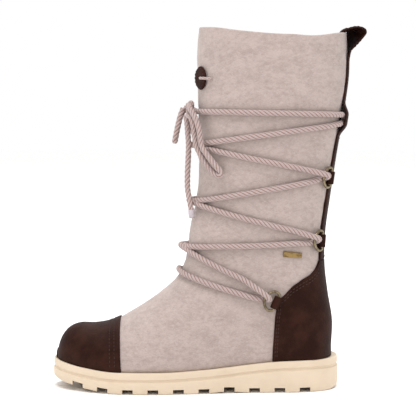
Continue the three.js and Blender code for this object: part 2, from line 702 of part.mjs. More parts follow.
// Pull loop: the strap carried out, over the collar and down inside
const LOOP_LINE = [
  [-9.6, 320.4], [-12.2, 324], [-17.5, 329], [-23, 333.8], [-25.2, 337.2], [-23.4, 340], [-17, 340.9],
  [-10.5, 340.6], [-6, 339.6], [-2.8, 337.4], [-1.9, 333], [-1.7, 320],
];
const LOOP_STEPS = 16;
const BACK_ROUND = 47; // radius of the shaft's back at the collar
function pullLoop() {
  const curve = new THREE.CatmullRomCurve3(LOOP_LINE.map(([x, z]) => new THREE.Vector3(x, 0, z)));
  const bow = (out) => new THREE.Vector3(out * out / (2 * BACK_ROUND), out, 0);
  const grid = (side) => Array.from({ length: LOOP_STEPS + 1 }, (_, k) => {
    const tangent = curve.getTangentAt(k / LOOP_STEPS);
    const across = new THREE.Vector3(-tangent.z, 0, tangent.x).multiplyScalar(side * LEATHER / 2);
    const point = curve.getPointAt(k / LOOP_STEPS).add(across);
    return STRAP_SHARES.map((share) => bow(share * STRAP_HIGH.half).add(point));
  });
  return plate(grid(-1), grid(1));
}
addPiece('pull_loop', pullLoop(), leatherBrown);

// Lace

const RUN_SIDES = 6;
const FREE_SIDES = 6;
const CORD_STEP = 3 * CORD;

function cordAlong(points, sides) {
  const section = new THREE.Shape(Array.from({ length: sides }, (_, k) => {
    const angle = 2 * Math.PI * (k + 0.5) / sides;
    return new THREE.Vector2(CORD / 2 * Math.cos(angle), CORD / 2 * Math.sin(angle));
  }));
  const path = new THREE.CatmullRomCurve3(points);
  const steps = Math.round(path.getLength() / CORD_STEP);
  return new THREE.ExtrudeGeometry(section, { steps, extrudePath: path, bevelEnabled: false });
}

const LACE_STEPS = 6;
const SETTLING_STEPS = 8;

// Points of a run round the leg from one place to another. Most of the climb goes with the
// length in the side view, where a taut run looks straight, and the rest with the turn.
const STRAIGHT = 0.75;
function laceRun(from, to) {
  const fromX = legPoint(from.up, from.turn, 0).x;
  const toX = legPoint(to.up, to.turn, 0).x;
  return Array.from({ length: LACE_STEPS + 1 }, (_, k) => {
    const t = k / LACE_STEPS;
    const turn = from.turn + (to.turn - from.turn) * t;
    let up = from.up + (to.up - from.up) * t;
    for (let i = 0; i < SETTLING_STEPS; i++) {
      const seen = (legPoint(up, turn, 0).x - fromX) / (toX - fromX);
      up = from.up + (to.up - from.up) * (STRAIGHT * seen + (1 - STRAIGHT) * t);
    }
    return legPoint(up, turn, CORD_LIFT);
  });
}

function stop(name, side) {
  const { along: x, up } = LACE_STOPS[name];
  return { turn: turnAt(x, up, side), up };
}
const front = (name) => ({ turn: 0, up: LACE_FRONT[name] });
const joined = (...runs) => runs.flatMap((run, i) => (i ? run.slice(1) : run));

function crossing(lower, middle, higher) {
  const strand = (side) => solid(cordAlong(joined(
    laceRun(stop(lower, side), front(middle)), laceRun(front(middle), stop(higher, -side))), RUN_SIDES));
  return strand(1).add(strand(-1));
}

const barRun = joined(
  laceRun(stop('lowUnder', 1), front('bar')),
  laceRun(front('bar'), stop('lowUnder', -1)));
addPiece('lace_bar', cordAlong(barRun, RUN_SIDES), cordPink);
addPiece('lace_cross_low', geometryOf(crossing('lowOver', 'low', 'midUnder')), cordPink);
addPiece('lace_cross_mid', geometryOf(crossing('midOver', 'mid', 'highUnder')), cordPink);

// Knot and what hangs from it
const KNOT = { along: 141, out: 0, up: 265, long: 6.4, wide: 8.2, tall: 7 };
const knotShape = (grow) => new THREE.SphereGeometry(1, 12, 8)
  .scale(KNOT.long + grow, KNOT.wide + grow, KNOT.tall + grow)
  .translate(KNOT.along, KNOT.out, KNOT.up);
const knotRoom = solid(knotShape(GAP));
const knotPoint = new THREE.Vector3(KNOT.along, KNOT.out, KNOT.up);
addCord('lace_knot', geometryOf(solid(knotShape(0))));

// Top crossing: up from the high rings, across the front, round the back through the tunnel
// and forward again to the knot
function topStrand(side) {
  const into = { turn: -side * TUNNEL_EDGE.turn, up: TUNNEL_EDGE.low };
  const middle = { turn: -side * Math.PI, up: TUNNEL_UP };
  const outOf = { turn: -side * (2 * Math.PI - TUNNEL_EDGE.turn), up: TUNNEL_EDGE.high };
  const forward = { turn: -side * 2 * Math.PI, up: LACE_FRONT.knot };
  return solid(cordAlong(joined(
    laceRun(stop('highOver', side), front('high')),
    laceRun(front('high'), into),
    [into, middle, outOf].map(({ up, turn }) => legPoint(up, turn, CORD_LIFT)),
    laceRun(outOf, forward)), RUN_SIDES));
}
addPiece('lace_cross_high', geometryOf(topStrand(1).add(topStrand(-1)).subtract(knotRoom)), cordPink);

// Hanging cord that lies on the leg: height, turn and lift
const OVER = CORD_LIFT + CORD + 3 * GAP; // lift of a cord that lies over a run
const LOOP_OUTER = [
  { up: 265, turn: 0.27, lift: OVER }, { up: 255.5, turn: 0.47, lift: OVER },
  { up: 246, turn: 0.56, lift: OVER }, { up: 237, turn: 0.59, lift: OVER },
  { up: 229, turn: 0.63, lift: OVER - 0.4 }, { up: 221.5, turn: 0.74, lift: OVER - 1.2 },
  { up: 213, turn: 0.86, lift: OVER - 2.8 }, { up: 206, turn: 0.95, lift: OVER - 4.6 },
  { up: 203.2, turn: 0.91, lift: OVER - 5 }, { up: 206, turn: 0.8, lift: OVER - 4.6 },
  { up: 214, turn: 0.67, lift: OVER - 2.8 }, { up: 222, turn: 0.57, lift: OVER - 1.2 },
  { up: 230, turn: 0.48, lift: OVER - 0.4 }, { up: 238, turn: 0.44, lift: OVER },
  { up: 247, turn: 0.41, lift: OVER }, { up: 256, turn: 0.32, lift: OVER },
];
const END_INNER = [
  { up: 249, turn: -0.3, lift: OVER }, { up: 232, turn: -0.5, lift: OVER },
  { up: 214, turn: -0.62, lift: OVER - 1 }, { up: 196, turn: -0.68, lift: OVER - 1 },
  { up: 182, turn: -0.7, lift: OVER }, { up: 168, turn: -0.72, lift: OVER },
];
// Hanging cord clear of the leg: along, out and up
const LOOP_FRONT = [
  [150.5, -3, 257], [153.4, -4.4, 245], [155.6, -8.6, 234], [155.2, -14.2, 234.6], [153, -15.4, 246],
  [149.4, -12.4, 259],
];
const END_FRONT = [
  [144, 2, 252], [143.2, 5, 242], [142.4, 8, 231], [142.8, 9.5, 217], [143.4, 10.5, 204], [143.4, 12.5, 190],
  [141.8, 16.5, 180], [140.2, 17.5, 171], [139.4, 16, 162],
];
// Where each cord leaves the knot, from its middle
const EXITS = {
  outerUpper: [0, 8.5, 2], outerLower: [2, 6, -6.5],
  frontOuter: [6.5, -3, 0], frontInner: [3, -8.5, 1],
  endFront: [4, 0, -7], endInner: [1, -7.5, -7],
};
const onLeg = (stations) => stations.map(({ up, turn, lift }) => legPoint(up, turn, lift));
const inFront = (stations) => stations.map(([x, y, z]) => new THREE.Vector3(x, y, z));
const hangingCord = (points) => geometryOf(solid(cordAlong(points, FREE_SIDES)).subtract(knotRoom));
const exit = (name) => new THREE.Vector3(...EXITS[name]).add(knotPoint);
addCord('lace_loop_outer', hangingCord([exit('outerUpper'), ...onLeg(LOOP_OUTER), exit('outerLower')]));
addCord('lace_loop_front', hangingCord([exit('frontOuter'), ...inFront(LOOP_FRONT), exit('frontInner')]));
addCord('lace_end_front', hangingCord([exit('endFront'), ...inFront(END_FRONT)]));
addCord('lace_end_inner', hangingCord([exit('endInner'), ...onLeg(END_INNER)]));

// Button on the front of the shaft, turned a little to the outer side
const BUTTON = { up: 293, turn: 0.36, radius: 11, thick: 3 };
const buttonPlace = placeAt(BUTTON.up, BUTTON.turn);
const button = addPiece('front_button', new THREE.LatheGeometry([
  [0, 0], [BUTTON.radius - 0.8, 0], [BUTTON.radius, BUTTON.thick * 0.4],
  [BUTTON.radius - 2, BUTTON.thick * 0.85], [0, BUTTON.thick],
].map(([x, y]) => new THREE.Vector2(x, y)), 18), leatherBrown);
button.geometry = geometryOf(solid(button.geometry));
button.position.copy(lastOffset(buttonPlace, BUTTON.turn, GAP));
button.quaternion.setFromUnitVectors(new THREE.Vector3(0, 1, 0), lastNormal(buttonPlace, BUTTON.turn));

// The toe points to -x and the outer side to -y, over the middle of the floor that the boot covers
boot.rotation.z = Math.PI;
boot.updateMatrixWorld(true);
const box = new THREE.Box3();
for (const mesh of boot.children) {
  if (!hung.includes(mesh)) box.expandByObject(mesh, true);
}
const middle = box.getCenter(new THREE.Vector3());
boot.position.set(-middle.x, -middle.y, -box.min.z);

export default boot;
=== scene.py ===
import math

import bmesh
import bpy
import numpy as np
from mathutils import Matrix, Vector
from mathutils.bvhtree import BVHTree


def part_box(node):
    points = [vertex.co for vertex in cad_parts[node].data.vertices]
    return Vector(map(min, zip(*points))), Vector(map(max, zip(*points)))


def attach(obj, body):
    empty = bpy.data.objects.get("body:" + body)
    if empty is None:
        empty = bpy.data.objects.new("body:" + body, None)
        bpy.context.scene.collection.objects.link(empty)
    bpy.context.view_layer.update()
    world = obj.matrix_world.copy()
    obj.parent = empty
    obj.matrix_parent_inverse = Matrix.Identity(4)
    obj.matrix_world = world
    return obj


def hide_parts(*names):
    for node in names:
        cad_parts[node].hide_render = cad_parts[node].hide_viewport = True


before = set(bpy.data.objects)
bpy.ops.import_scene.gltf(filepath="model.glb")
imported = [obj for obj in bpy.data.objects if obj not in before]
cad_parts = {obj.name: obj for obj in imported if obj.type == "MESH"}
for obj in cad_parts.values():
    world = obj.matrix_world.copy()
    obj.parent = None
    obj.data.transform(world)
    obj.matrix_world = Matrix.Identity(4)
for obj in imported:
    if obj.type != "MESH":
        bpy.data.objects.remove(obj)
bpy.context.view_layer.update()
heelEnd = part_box("outsole")[1][0] * 1000  # the sole's heel end on the x axis, mm


# All shapes are worked out in millimetres: along from the heel end to the toe, out to the outer side, and up
def toWorld(points):
    p = np.asarray(points, float)
    return np.stack([heelEnd - p[..., 0], -p[..., 1], p[..., 2]], -1) / 1000


view = {
    "spot": (136, 1385, 263),
    "aim": (124, 0, 170),
    "lens": 126,
    "sensor": 36,
}


def linked(name, data):
    made = bpy.data.objects.new(name, data)
    bpy.context.collection.objects.link(made)
    return made


def pointAt(thing, spot, aim):
    thing.location = Vector(spot)
    thing.rotation_euler = (Vector(aim) - Vector(spot)).to_track_quat("-Z", "Y").to_euler()


def addCamera():
    data = bpy.data.cameras.new("camera")
    data.lens = view["lens"]
    data.sensor_width = view["sensor"]
    camera = linked("camera", data)
    pointAt(camera, *toWorld([view["spot"], view["aim"]]))
    bpy.context.scene.camera = camera
    print("camera set")


# Shader nodes
class Wire:
    def __init__(self, finish, socket):
        self.finish = finish
        self.socket = socket

    def sum(self, operation, first, second):
        return self.finish.node("Math", {"operation": operation}, [first, second])

    def __add__(self, other):
        return self.sum("ADD", self, other)

    def __radd__(self, other):
        return self.sum("ADD", other, self)

    def __sub__(self, other):
        return self.sum("SUBTRACT", self, other)

    def __rsub__(self, other):
        return self.sum("SUBTRACT", other, self)

    def __mul__(self, other):
        return self.sum("MULTIPLY", self, other)

    def __rmul__(self, other):
        return self.sum("MULTIPLY", other, self)

    def between(self, low, high):  # 0 at low, 1 at high, with soft ends
        return self.finish.node("MapRange", {"interpolation_type": "SMOOTHSTEP"},
                                {"Value": self, "From Min": low, "From Max": high})


class Finish:
    def __init__(self, name, constants):
        self.material = bpy.data.materials.new(name)
        self.material.use_nodes = True
        self.tree = self.material.node_tree
        self.shader = self.tree.nodes["Principled BSDF"]
        for socket, value in constants.items():
            self.shader.inputs[socket].default_value = value
        self.at = self.place()

    def node(self, kind, settings=None, sockets=None, out=0):
        made = self.tree.nodes.new("ShaderNode" + kind)
        for key, value in (settings or {}).items():
            setattr(made, key, value)
        for key, value in sockets.items() if isinstance(sockets, dict) else enumerate(sockets or []):
            if isinstance(value, Wire):
                self.tree.links.new(value.socket, made.inputs[key])
            else:
                made.inputs[key].default_value = value
        return Wire(self, made.outputs[out])

    def feed(self, socket, wire):
        self.tree.links.new(wire.socket, self.shader.inputs[socket])

    def blend(self, share, first, second):
        first, second = ((*c, 1) if isinstance(c, tuple) else c for c in (first, second))
        return self.node("Mix", {"data_type": "RGBA"}, {0: share, 6: first, 7: second}, out=2)

    def place(self, scale=(1, 1, 1), turn=(0, 0, 0)):  # object coordinates in metres, stretched
        at = self.node("TexCoord", out=3)
        return self.node("Mapping", {}, {"Vector": at, "Scale": scale, "Rotation": turn})

    def noise(self, scale, detail=3.0, rough=0.6, at=None):
        sockets = {"Vector": at or self.at, "Scale": scale, "Detail": detail, "Roughness": rough}
        return self.node("TexNoise", {}, sockets)

    def cells(self, scale, kind="F1"):
        return self.node("TexVoronoi", {"feature": kind}, {"Vector": self.at, "Scale": scale})

    def attribute(self, name):
        return self.node("Attribute", {"attribute_name": name}, out=2)

    def finished(self, tone, rough, height, strength, distance):
        self.feed("Base Color", tone)
        self.feed("Roughness", rough)
        sockets = {"Height": height, "Strength": strength, "Distance": distance}
        self.feed("Normal", self.node("Bump", {}, sockets))
        return self.material


felt = {
    "light": (0.462, 0.373, 0.343),
    "dark": (0.222, 0.165, 0.145),
    "pale": (0.61, 0.526, 0.495),
    "streaks": (1.0, 1.0, 1.6),  # flatter along than up
    "fibres": (1, 1, 4.5),
    "slant": 0.45,
}


def feltFinish(name, shade=1.0):
    f = Finish(name, {"Sheen Weight": 0.2, "Sheen Roughness": 0.6, "Specular IOR Level": 0.15})
    # a shade below 1 darkens every felt colour; the insole gets 0.85 as painted shade inside the boot
    light, dark, pale = (tuple(v * shade for v in felt[k]) for k in ("light", "dark", "pale"))
    flat = f.place(felt["streaks"], (0, felt["slant"], 0))
    clouds = f.noise(60, 3, 0.5, flat)
    blotches = f.noise(210, 4, 0.65, flat)
    fibres = f.noise(520, 4, 0.65, f.place(felt["fibres"], (0, felt["slant"], 0)))
    crossed = f.noise(640, at=f.place(felt["fibres"], (0, felt["slant"] - 1.1, 0.4)))
    fine = f.noise(1900)
    patches = (clouds * 0.4 + blotches * 0.6).between(0.36, 0.68)
    tone = f.blend(patches * 0.42, light, dark)
    tone = f.blend(fibres.between(0.52, 0.72) * 0.5, tone, dark)
    tone = f.blend(crossed.between(0.52, 0.74) * 0.6, tone, pale)
    height = fibres * 0.5 + crossed * 0.4 + fine * 0.35 + blotches * 0.5
    return f.finished(tone, 0.82 + fine * 0.16, height, 0.55, 0.0007)


leather = {
    "deep": (0.018, 0.0048, 0.0026),
    "warm": (0.034, 0.0108, 0.0062),
    "scuff": (0.09, 0.045, 0.035),
}


def leatherFinish(name):
    f = Finish(name, {"Specular IOR Level": 0.07, "Coat Roughness": 0.35})
    grain = f.cells(950)
    creases = f.cells(420, "DISTANCE_TO_EDGE")
    clouds = f.noise(60, 4, 0.6)
    fine = f.noise(1600)
    scratches = f.noise(900, 2, 0.7, f.place((1, 1, 0.2), (0.5, 0.6, 0.2)))
    tone = f.blend(clouds.between(0.35, 0.7), leather["deep"], leather["warm"])
    tone = f.blend(scratches.between(0.7, 0.8) * 0.3, tone, leather["scuff"])
    f.feed("Coat Weight", clouds * 0.05)
    height = grain * 0.5 + creases.between(0, 0.12) * 0.6 + fine * 0.25
    return f.finished(tone, 0.5 + clouds * 0.12 + fine * 0.1, height, 0.35, 0.0004)


rubber = {
    "cream": (0.68, 0.555, 0.42),
    "shade": (0.6, 0.48, 0.35),
    # well and wellShade: painted shade, a tan that darkens the grooves between the studs
    "well": (0.58, 0.425, 0.285),  # between the studs
    "wellShade": (0.5, 0.36, 0.23),
}


def creamFinish(name, cream, shade):
    f = Finish(name, {"Specular IOR Level": 0.4})
    clouds = f.noise(45, 4, 0.55)
    fine = f.noise(1100)
    specks = f.noise(2600, 2, 0.5)
    tone = f.blend(clouds.between(0.35, 0.75) * 0.5, cream, shade)
    tone = f.blend(specks.between(0.62, 0.8) * 0.25, tone, shade)
    # painted shade: stud feet deep in the grooves blend towards the tan well colour
    tone = f.blend(f.attribute("depth") * 0.7, tone, rubber["well"])
    return f.finished(tone, 0.52 + fine * 0.2, fine * 0.6 + specks * 0.4, 0.2, 0.0003)


gum = {
    "amber": (0.27, 0.135, 0.05),
    "honey": (0.38, 0.215, 0.095),
    "band": (0.115, 0.06, 0.032),
    "rim": (0.022, 0.011, 0.008),
}


def gumFinish(name, low, high, rough):
    f = Finish(name, {"Specular IOR Level": 0.5, "Coat Roughness": 0.25})
    clouds = f.noise(120, 4, 0.6)
    fine = f.noise(1500)
    tone = f.blend(clouds.between(0.3, 0.7), low, high)
    f.feed("Coat Weight", clouds * 0.2)
    return f.finished(tone, rough + fine * 0.18, fine + clouds * 0.5, 0.25, 0.0003)


brass = {
    "ring": (0.27, 0.215, 0.135),
    "ringDark": (0.12, 0.09, 0.058),
    "tag": (0.3, 0.2, 0.08),
    "tagDark": (0.16, 0.1, 0.042),
}


def brassFinish(name, metal, tarnish):
    f = Finish(name, {"Specular IOR Level": 0.5})
    clouds = f.noise(260, 5, 0.65)
    fine = f.noise(1800)
    old = clouds.between(0.42, 0.66)
    tone = f.blend(old, metal, tarnish)
    f.feed("Metallic", 1.0 - old * 0.25)
    return f.finished(tone, 0.3 + old * 0.28 + fine * 0.08, clouds * 0.6 + fine * 0.4, 0.2, 0.0003)


cord = {
    "thick": 5.6,
    "lay": 18.4,  # length of one full turn of the twist
    "pale": (0.475, 0.382, 0.368),
    "cool": (0.352, 0.276, 0.27),
    "copper": (0.27, 0.155, 0.12),
    "sides": 40,
    "step": 1.35,
    "strands": ((0.586, 0.414), (0.65, 0.25)),  # offset and radius of a thick and of a thin strand
}


def cordFinish():
    f = Finish("twisted_cord", {"Sheen Weight": 0.15, "Sheen Roughness": 0.6, "Specular IOR Level": 0.2})
    strand = f.attribute("strand")
    fuzz = f.noise(900, 4, 0.65)
    fine = f.noise(2600)
    tone = f.blend(fuzz.between(0.4, 0.7) * 0.5, cord["pale"], cord["cool"])
    tone = f.blend(strand, tone, cord["copper"])
    return f.finished(tone, 0.78 + fine * 0.18, fuzz * 0.6 + fine * 0.5, 0.5, 0.0004)


threads = {
    "tip": ((0.48, 0.42, 0.45), (0.63, 0.565, 0.6)),
    "brown": ((0.03, 0.016, 0.013), (0.07, 0.04, 0.034)),
}


def threadFinish(name, low, high):
    f = Finish(name, {"Specular IOR Level": 0.25})
    fine = f.noise(2200)
    return f.finished(f.blend(fine.between(0.35, 0.7), low, high), 0.7 + fine * 0.2, fine, 0.3, 0.0002)


# Curves and tables
def unit(vectors):
    return vectors / np.linalg.norm(vectors, axis=-1, keepdims=True)


def turns(count):
    return np.linspace(0, 2 * math.pi, count, endpoint=False)


def valuesAt(at, marks, table):  # each column of a table
    return np.stack([np.interp(at, marks, column) for column in table.T], -1)


def halved(low, high, test, steps=30):  # the last place from low to high that passes a test
    for _ in range(steps):
        middle = (low + high) / 2
        passed = test(middle)
        low, high = np.where(passed, middle, low), np.where(passed, high, middle)
    return low


def curveThrough(points, closed=False, perSpan=24):
    pts = np.asarray(points, float)
    if closed:
        ends = np.concatenate([pts[-1:], pts, pts[:2]])
    else:
        ends = np.concatenate([2 * pts[:1] - pts[1:2], pts, 2 * pts[-1:] - pts[-2:-1]])
    t = np.linspace(0, 1, perSpan, endpoint=False)[:, None]
    line = []
    for p0, p1, p2, p3 in zip(ends, ends[1:], ends[2:], ends[3:]):
        d0, d1, d2 = (np.linalg.norm(b - a) ** 0.5 for a, b in ((p0, p1), (p1, p2), (p2, p3)))
        m1 = ((p1 - p0) / d0 - (p2 - p0) / (d0 + d1) + (p2 - p1) / d1) * d1
        m2 = ((p2 - p1) / d1 - (p3 - p1) / (d1 + d2) + (p3 - p2) / d2) * d1
        line.append(p1 + m1 * t + (3 * (p2 - p1) - 2 * m1 - m2) * t ** 2 + (2 * (p1 - p2) + m1 + m2) * t ** 3)
    if not closed:
        line.append(pts[-1:])
    return np.concatenate(line)


def lengthsOf(line):
    return np.concatenate([[0], np.cumsum(np.linalg.norm(np.diff(line, axis=0), axis=1))])


def spaced(line, step=None, count=None, closed=False):
    if closed:
        line = np.concatenate([line, line[:1]])
    marks = lengthsOf(line)
    count = count or max(3, round(marks[-1] / step) + 1)
    return valuesAt(np.linspace(0, marks[-1], count + closed)[:count], marks, line)


sole = {
    "length": 272,
    "edge": [  # along, half width to the outer side, half width to the inner side
        (4, 20, 17.5), (14, 32, 31), (38, 41, 41.8), (64, 42.3, 42.8), (90, 43.4, 37.8), (117, 46.6, 35.2),
        (140, 49.6, 39.3), (165, 52.4, 48), (190, 52.8, 52.4), (214, 49.2, 52.4), (236, 40.8, 46.4),
        (256, 28, 33.8), (267.5, 14.5, 20),
    ],
    "heelTip": (0, 1),
    "toeTip": (272, -3),
    "profile": [  # along, underside of the lugs, seat of the upper
        (-20, 9, 30), (0, 2.5, 30), (13, 0, 30), (55, 0, 29), (84, 0, 26.5), (106, 1.4, 24), (128, 0, 22),
        (170, 0, 20), (208, 0, 20), (240, 3.4, 22.6), (272, 10, 28), (300, 18, 35),
    ],
    "ledge": 4.5,
    "treadDepth": 4.5,
    "lugDepth": 20.5,
    "lugPitch": 23.65,
    "lugGap": 10,
    "firstGap": {1: 33.6, -1: 37.8},
    "gaps": 10,
    "gapInner": 5,  # a gap runs into the hollow, and out past the edge
    "gapOuter": 90,
    "studPitch": 3.15,
    "studDepth": 1.5,
    "studHalves": (0.47, 0.24),  # of the pitch, at the foot and at the tip
    "lugStuds": (4, 6),  # along and across
    "fieldEdge": 0.55,
    "fieldInset": 1.6,
    "fieldReach": 5,  # the outer end is taken so far along from the middle
    "crescentEdge": 2.0,
    "crescentHollow": (20, 9.5),  # half width and length
    "edgePoints": 480,
    "cutLow": -30,
    "hollowHeel": [(22.5, 0, 0), (23.1, 5, 5), (24.9, 10, 10), (28.6, 16, 16)],  # along, half widths
    "hollowSides": (36, 244, 4.0),
    "hollowToe": ((247, 0.55, 0.6), (250, -2.8, 3.2)),  # the first in shares of the half widths before it
    "crescents": [  # start, end, start of the hollow, middle line, shift of the inner half's start
        (3.0, 27.6, 20.0, 0.5, 0), (252.4, 267.8, 400, -3, 4),
    ],
}
gap = 0.3  # between pieces that meet
feltWall = 3.2
leatherWall = 1.6
overLift = gap + leatherWall  # top of the leather above the felt


def soleTable(column, x):
    rows = np.array(sole["profile"], float)
    xs, ys = rows[:, 0], rows[:, column]
    slopes = np.diff(ys) / np.diff(xs)
    before, after = slopes[:-1], slopes[1:]
    level = before * after <= 0
    inner = np.where(level, 0, 2 * before * after / np.where(level, 1, before + after))
    tangents = np.concatenate([slopes[:1], inner, slopes[-1:]])
    x = np.asarray(x, float)
    i = np.clip(np.searchsorted(xs, x, side="right") - 1, 0, len(xs) - 2)
    span = xs[i + 1] - xs[i]
    t = np.clip((x - xs[i]) / span, 0, 1)
    rise = t * t * (3 - 2 * t)
    bend = (1 - t) * tangents[i] - t * tangents[i + 1]
    return ys[i] * (1 - rise) + ys[i + 1] * rise + span * t * (1 - t) * bend


def groundAt(x):
    return soleTable(1, x)


def seatAt(x):
    return soleTable(2, x)


edgeLine = curveThrough(
    [(*sole["heelTip"], 0)] + [(x, -inner, 0) for x, outer, inner in sole["edge"]]
    + [(*sole["toeTip"], 0)] + [(x, outer, 0) for x, outer, inner in reversed(sole["edge"])], closed=True)


def leftOf(line):  # level normals on the left of a closed line
    ahead = unit(np.roll(line, -1, 0) - np.roll(line, 1, 0))
    return np.stack([-ahead[:, 1], ahead[:, 0], 0 * ahead[:, 0]], 1)


def soleEdge(inset, count, fine=1440):
    line = spaced(edgeLine, count=fine, closed=True)
    return (line + leftOf(line) * inset)[::fine // count]


def halfWidth(x, side, inset):  # of the sole's edge, so far inside it
    edge = soleEdge(inset, 360)
    middle = sole["toeTip"][1] * edge[:, 0] / sole["length"]
    chain = edge[np.sign(edge[:, 1] - middle) == side]
    chain = chain[np.argsort(chain[:, 0])]
    return np.interp(x, chain[:, 0], chain[:, 1] * side)


# The last: sections from the toe to the collar
last = {
    "foot": [  # top along, top up, low along, swell, widest, crown, base, ridge
        (265.8, 35, 265.8, 0, 0.6, 2, 3, -2.5), (264, 42, 264.4, 0.4, 0.6, 2.1, 3, -2.6),
        (260.3, 49.2, 261.4, 0.8, 0.6, 2.2, 3, -2.8), (254.6, 54.8, 256.6, 1, 0.6, 2.3, 3.2, -3),
        (245.5, 57.8, 248.5, 1, 0.62, 2.3, 3.4, -3.4), (232, 57.4, 235, 0.8, 0.64, 2.3, 3.6, -4),
        (216, 60.4, 219, 0.6, 0.66, 2.2, 4, -5), (199, 69.4, 202, 0.6, 0.68, 2.05, 4, -5.5),
        (181, 81.4, 181, 1, 0.68, 1.95, 4, -5), (166.5, 91.8, 157, 1.6, 0.66, 1.9, 4.4, -4),
        (157.4, 100, 131, 2.4, 0.62, 1.9, 5, -2.8), (150.4, 110, 105, 3, 0.58, 1.95, 5.5, -1.8),
        (145.6, 123.5, 78, 2.8, 0.55, 2, 6, -1), (142.6, 140, 50, 2.4, 0.52, 2.05, 6, -0.5),
    ],
    "leg": [  # front along, front up, back along, back up, half width, crown, base, dip of the sides
        (140.4, 156, 22, 20.5, 40.5, 2.1, 5, 0), (137.6, 168, 9.6, 21, 41, 2.1, 3.4, 0),
        (135.2, 179, 8, 40, 41, 2.1, 2.5, 0), (133.4, 192, 7.2, 64, 41.5, 2.15, 2.3, 0),
        (132.6, 208, 11.4, 90, 42.5, 2.2, 2.2, 0), (132.4, 225, 14.6, 118, 44, 2.2, 2.2, 0),
        (132.6, 243, 14, 148, 45.5, 2.2, 2.2, 0), (133, 261, 9.6, 182, 46.5, 2.2, 2.2, 0),
        (133.4, 280, 4, 220, 47.5, 2.2, 2.2, 0), (133.8, 300, -2, 256, 48.5, 2.2, 2.2, 1),
        (134, 320, -7.6, 297, 49.5, 2.2, 2.2, 4), (132.6, 340, -7, 335, 50, 2.2, 2.2, 8),
        (131.6, 360, -6, 372, 50, 2.2, 2.2, 8),
    ],
    "undercut": 8,
    "collarRow": 25,
    "instepRow": 8,
}


def lastRows():
    rows = []
    for topX, topZ, lowX, swell, widest, crown, base, ridge in last["foot"]:
        outer, inner = (halfWidth(lowX, side, sole["ledge"]) + swell for side in (1, -1))
        rows.append((topX, topZ, lowX, float(seatAt(lowX)) - last["undercut"],
                     outer, inner, widest, crown, base, ridge, 0))
    for frontX, frontZ, backX, backZ, half, crown, base, dip in last["leg"]:
        rows.append((frontX, frontZ, backX, backZ, half, half, 0.5, crown, base, 0, dip))
    return np.array(rows, float)


lastTable = lastRows()


def lastPoint(place, turn):
    place, turn = np.broadcast_arrays(np.asarray(place, float), np.asarray(turn, float))
    end = len(lastTable) - 1
    i = np.clip(np.floor(place), 0, end - 1).astype(int)
    t = (place - i)[..., None]
    a, b, c, d = (lastTable[np.clip(i + k, 0, end)] for k in (-1, 0, 1, 2))
    row = 0.5 * (2 * b + (c - a) * t + (2 * a - 5 * b + 4 * c - d) * t ** 2
                 + (3 * b - a - 3 * c + d) * t ** 3)
    frontX, frontZ, backX, backZ, outer, inner, widest, crown, base, ridge, dip = np.moveaxis(row, -1, 0)
    front = np.cos(turn) > 0
    power = 2 / np.where(front, crown, base)
    reach = np.abs(np.cos(turn)) ** power
    side = np.sign(np.sin(turn)) * np.abs(np.sin(turn)) ** power
    share = np.where(front, widest * (1 - reach), widest + (1 - widest) * reach)
    return np.stack([
        frontX + (backX - frontX) * share,
        side * np.where(side > 0, outer, inner) + np.where(front, ridge * reach, 0),
        frontZ + (backZ - frontZ) * share - dip * np.sin(turn) ** 2,
    ], -1)


def lastNormal(place, turn, step=0.02):
    place = np.asarray(place, float)
    over = np.minimum(place + step, len(lastTable) - 1)
    up = lastPoint(over, turn) - lastPoint(np.maximum(place - step, 0), turn)
    around = lastPoint(place, turn + step) - lastPoint(place, turn - step)
    return unit(np.cross(around, up))


def placeAt(up, turn):
    up, turn = np.broadcast_arrays(np.asarray(up, float), np.asarray(turn, float))
    low, high = np.full(up.shape, float(last["instepRow"])), np.full(up.shape, len(lastTable) - 1.0)
    return halved(low, high, lambda place: lastPoint(place, turn)[..., 2] < up, 40)


def legPoint(up, turn, lift):
    place = placeAt(up, turn)
    return lastPoint(place, turn) + lastNormal(place, turn) * np.asarray(lift, float)[..., None]


def turnAt(x, up, side):
    return side * halved(0.0, math.pi, lambda turn: legPoint(up, side * turn, 0.0)[0] > x)


# Pieces
def gridFaces(rows, columns, around=False):
    faces = []
    for i in range(rows - 1):
        for k in range(columns if around else columns - 1):
            a, b = i * columns + k, i * columns + (k + 1) % columns
            faces.append((a, b, b + columns, a + columns))
    return faces


def newObject(name, points, faces, materials, indices=0):
    mesh = bpy.data.meshes.new(name)
    mesh.from_pydata(toWorld(points).tolist(), [], faces)
    for material in materials if isinstance(materials, (list, tuple)) else [materials]:
        mesh.materials.append(material)
    mesh.polygons.foreach_set("material_index", np.broadcast_to(indices, len(faces)).astype(np.int32))
    return linked(name, mesh)


def finishMesh(mesh, sharp, weld=False):
    edit = bmesh.new()
    edit.from_mesh(mesh)
    bmesh.ops.recalc_face_normals(edit, faces=edit.faces)
    for face in edit.faces:
        face.smooth = True
    for edge in edit.edges:
        edge.smooth = edge.calc_face_angle(0) < math.radians(sharp)
    if weld:
        bmesh.ops.remove_doubles(edit, verts=edit.verts, dist=1e-6)
    bmesh.ops.delete(edit, geom=[v for v in edit.verts if not v.link_faces], context="VERTS")
    bmesh.ops.recalc_face_normals(edit, faces=edit.faces)
    edit.to_mesh(mesh)
    edit.free()


def onBoot(piece, slot, replaces=()):
    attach(piece, "root")
    if replaces:
        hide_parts(*replaces)
    return piece


def makePiece(name, points, faces, materials, slot, replaces=(), marks=None, sharp=50, indices=0, weld=False):
    piece = newObject(name, points, faces, materials, indices)
    for key, values in (marks or {}).items():
        layer = piece.data.attributes.new(key, "FLOAT", "POINT")
        layer.data.foreach_set("value", np.asarray(values, np.float32))
    finishMesh(piece.data, sharp, weld)
    return onBoot(piece, slot, replaces)


def joinBodies(bodies):
    points, faces = [], []
    for more, moreFaces in bodies:
        faces += [tuple(v + len(points) for v in face) for face in moreFaces]
        points += list(more)
    return np.array(points), faces


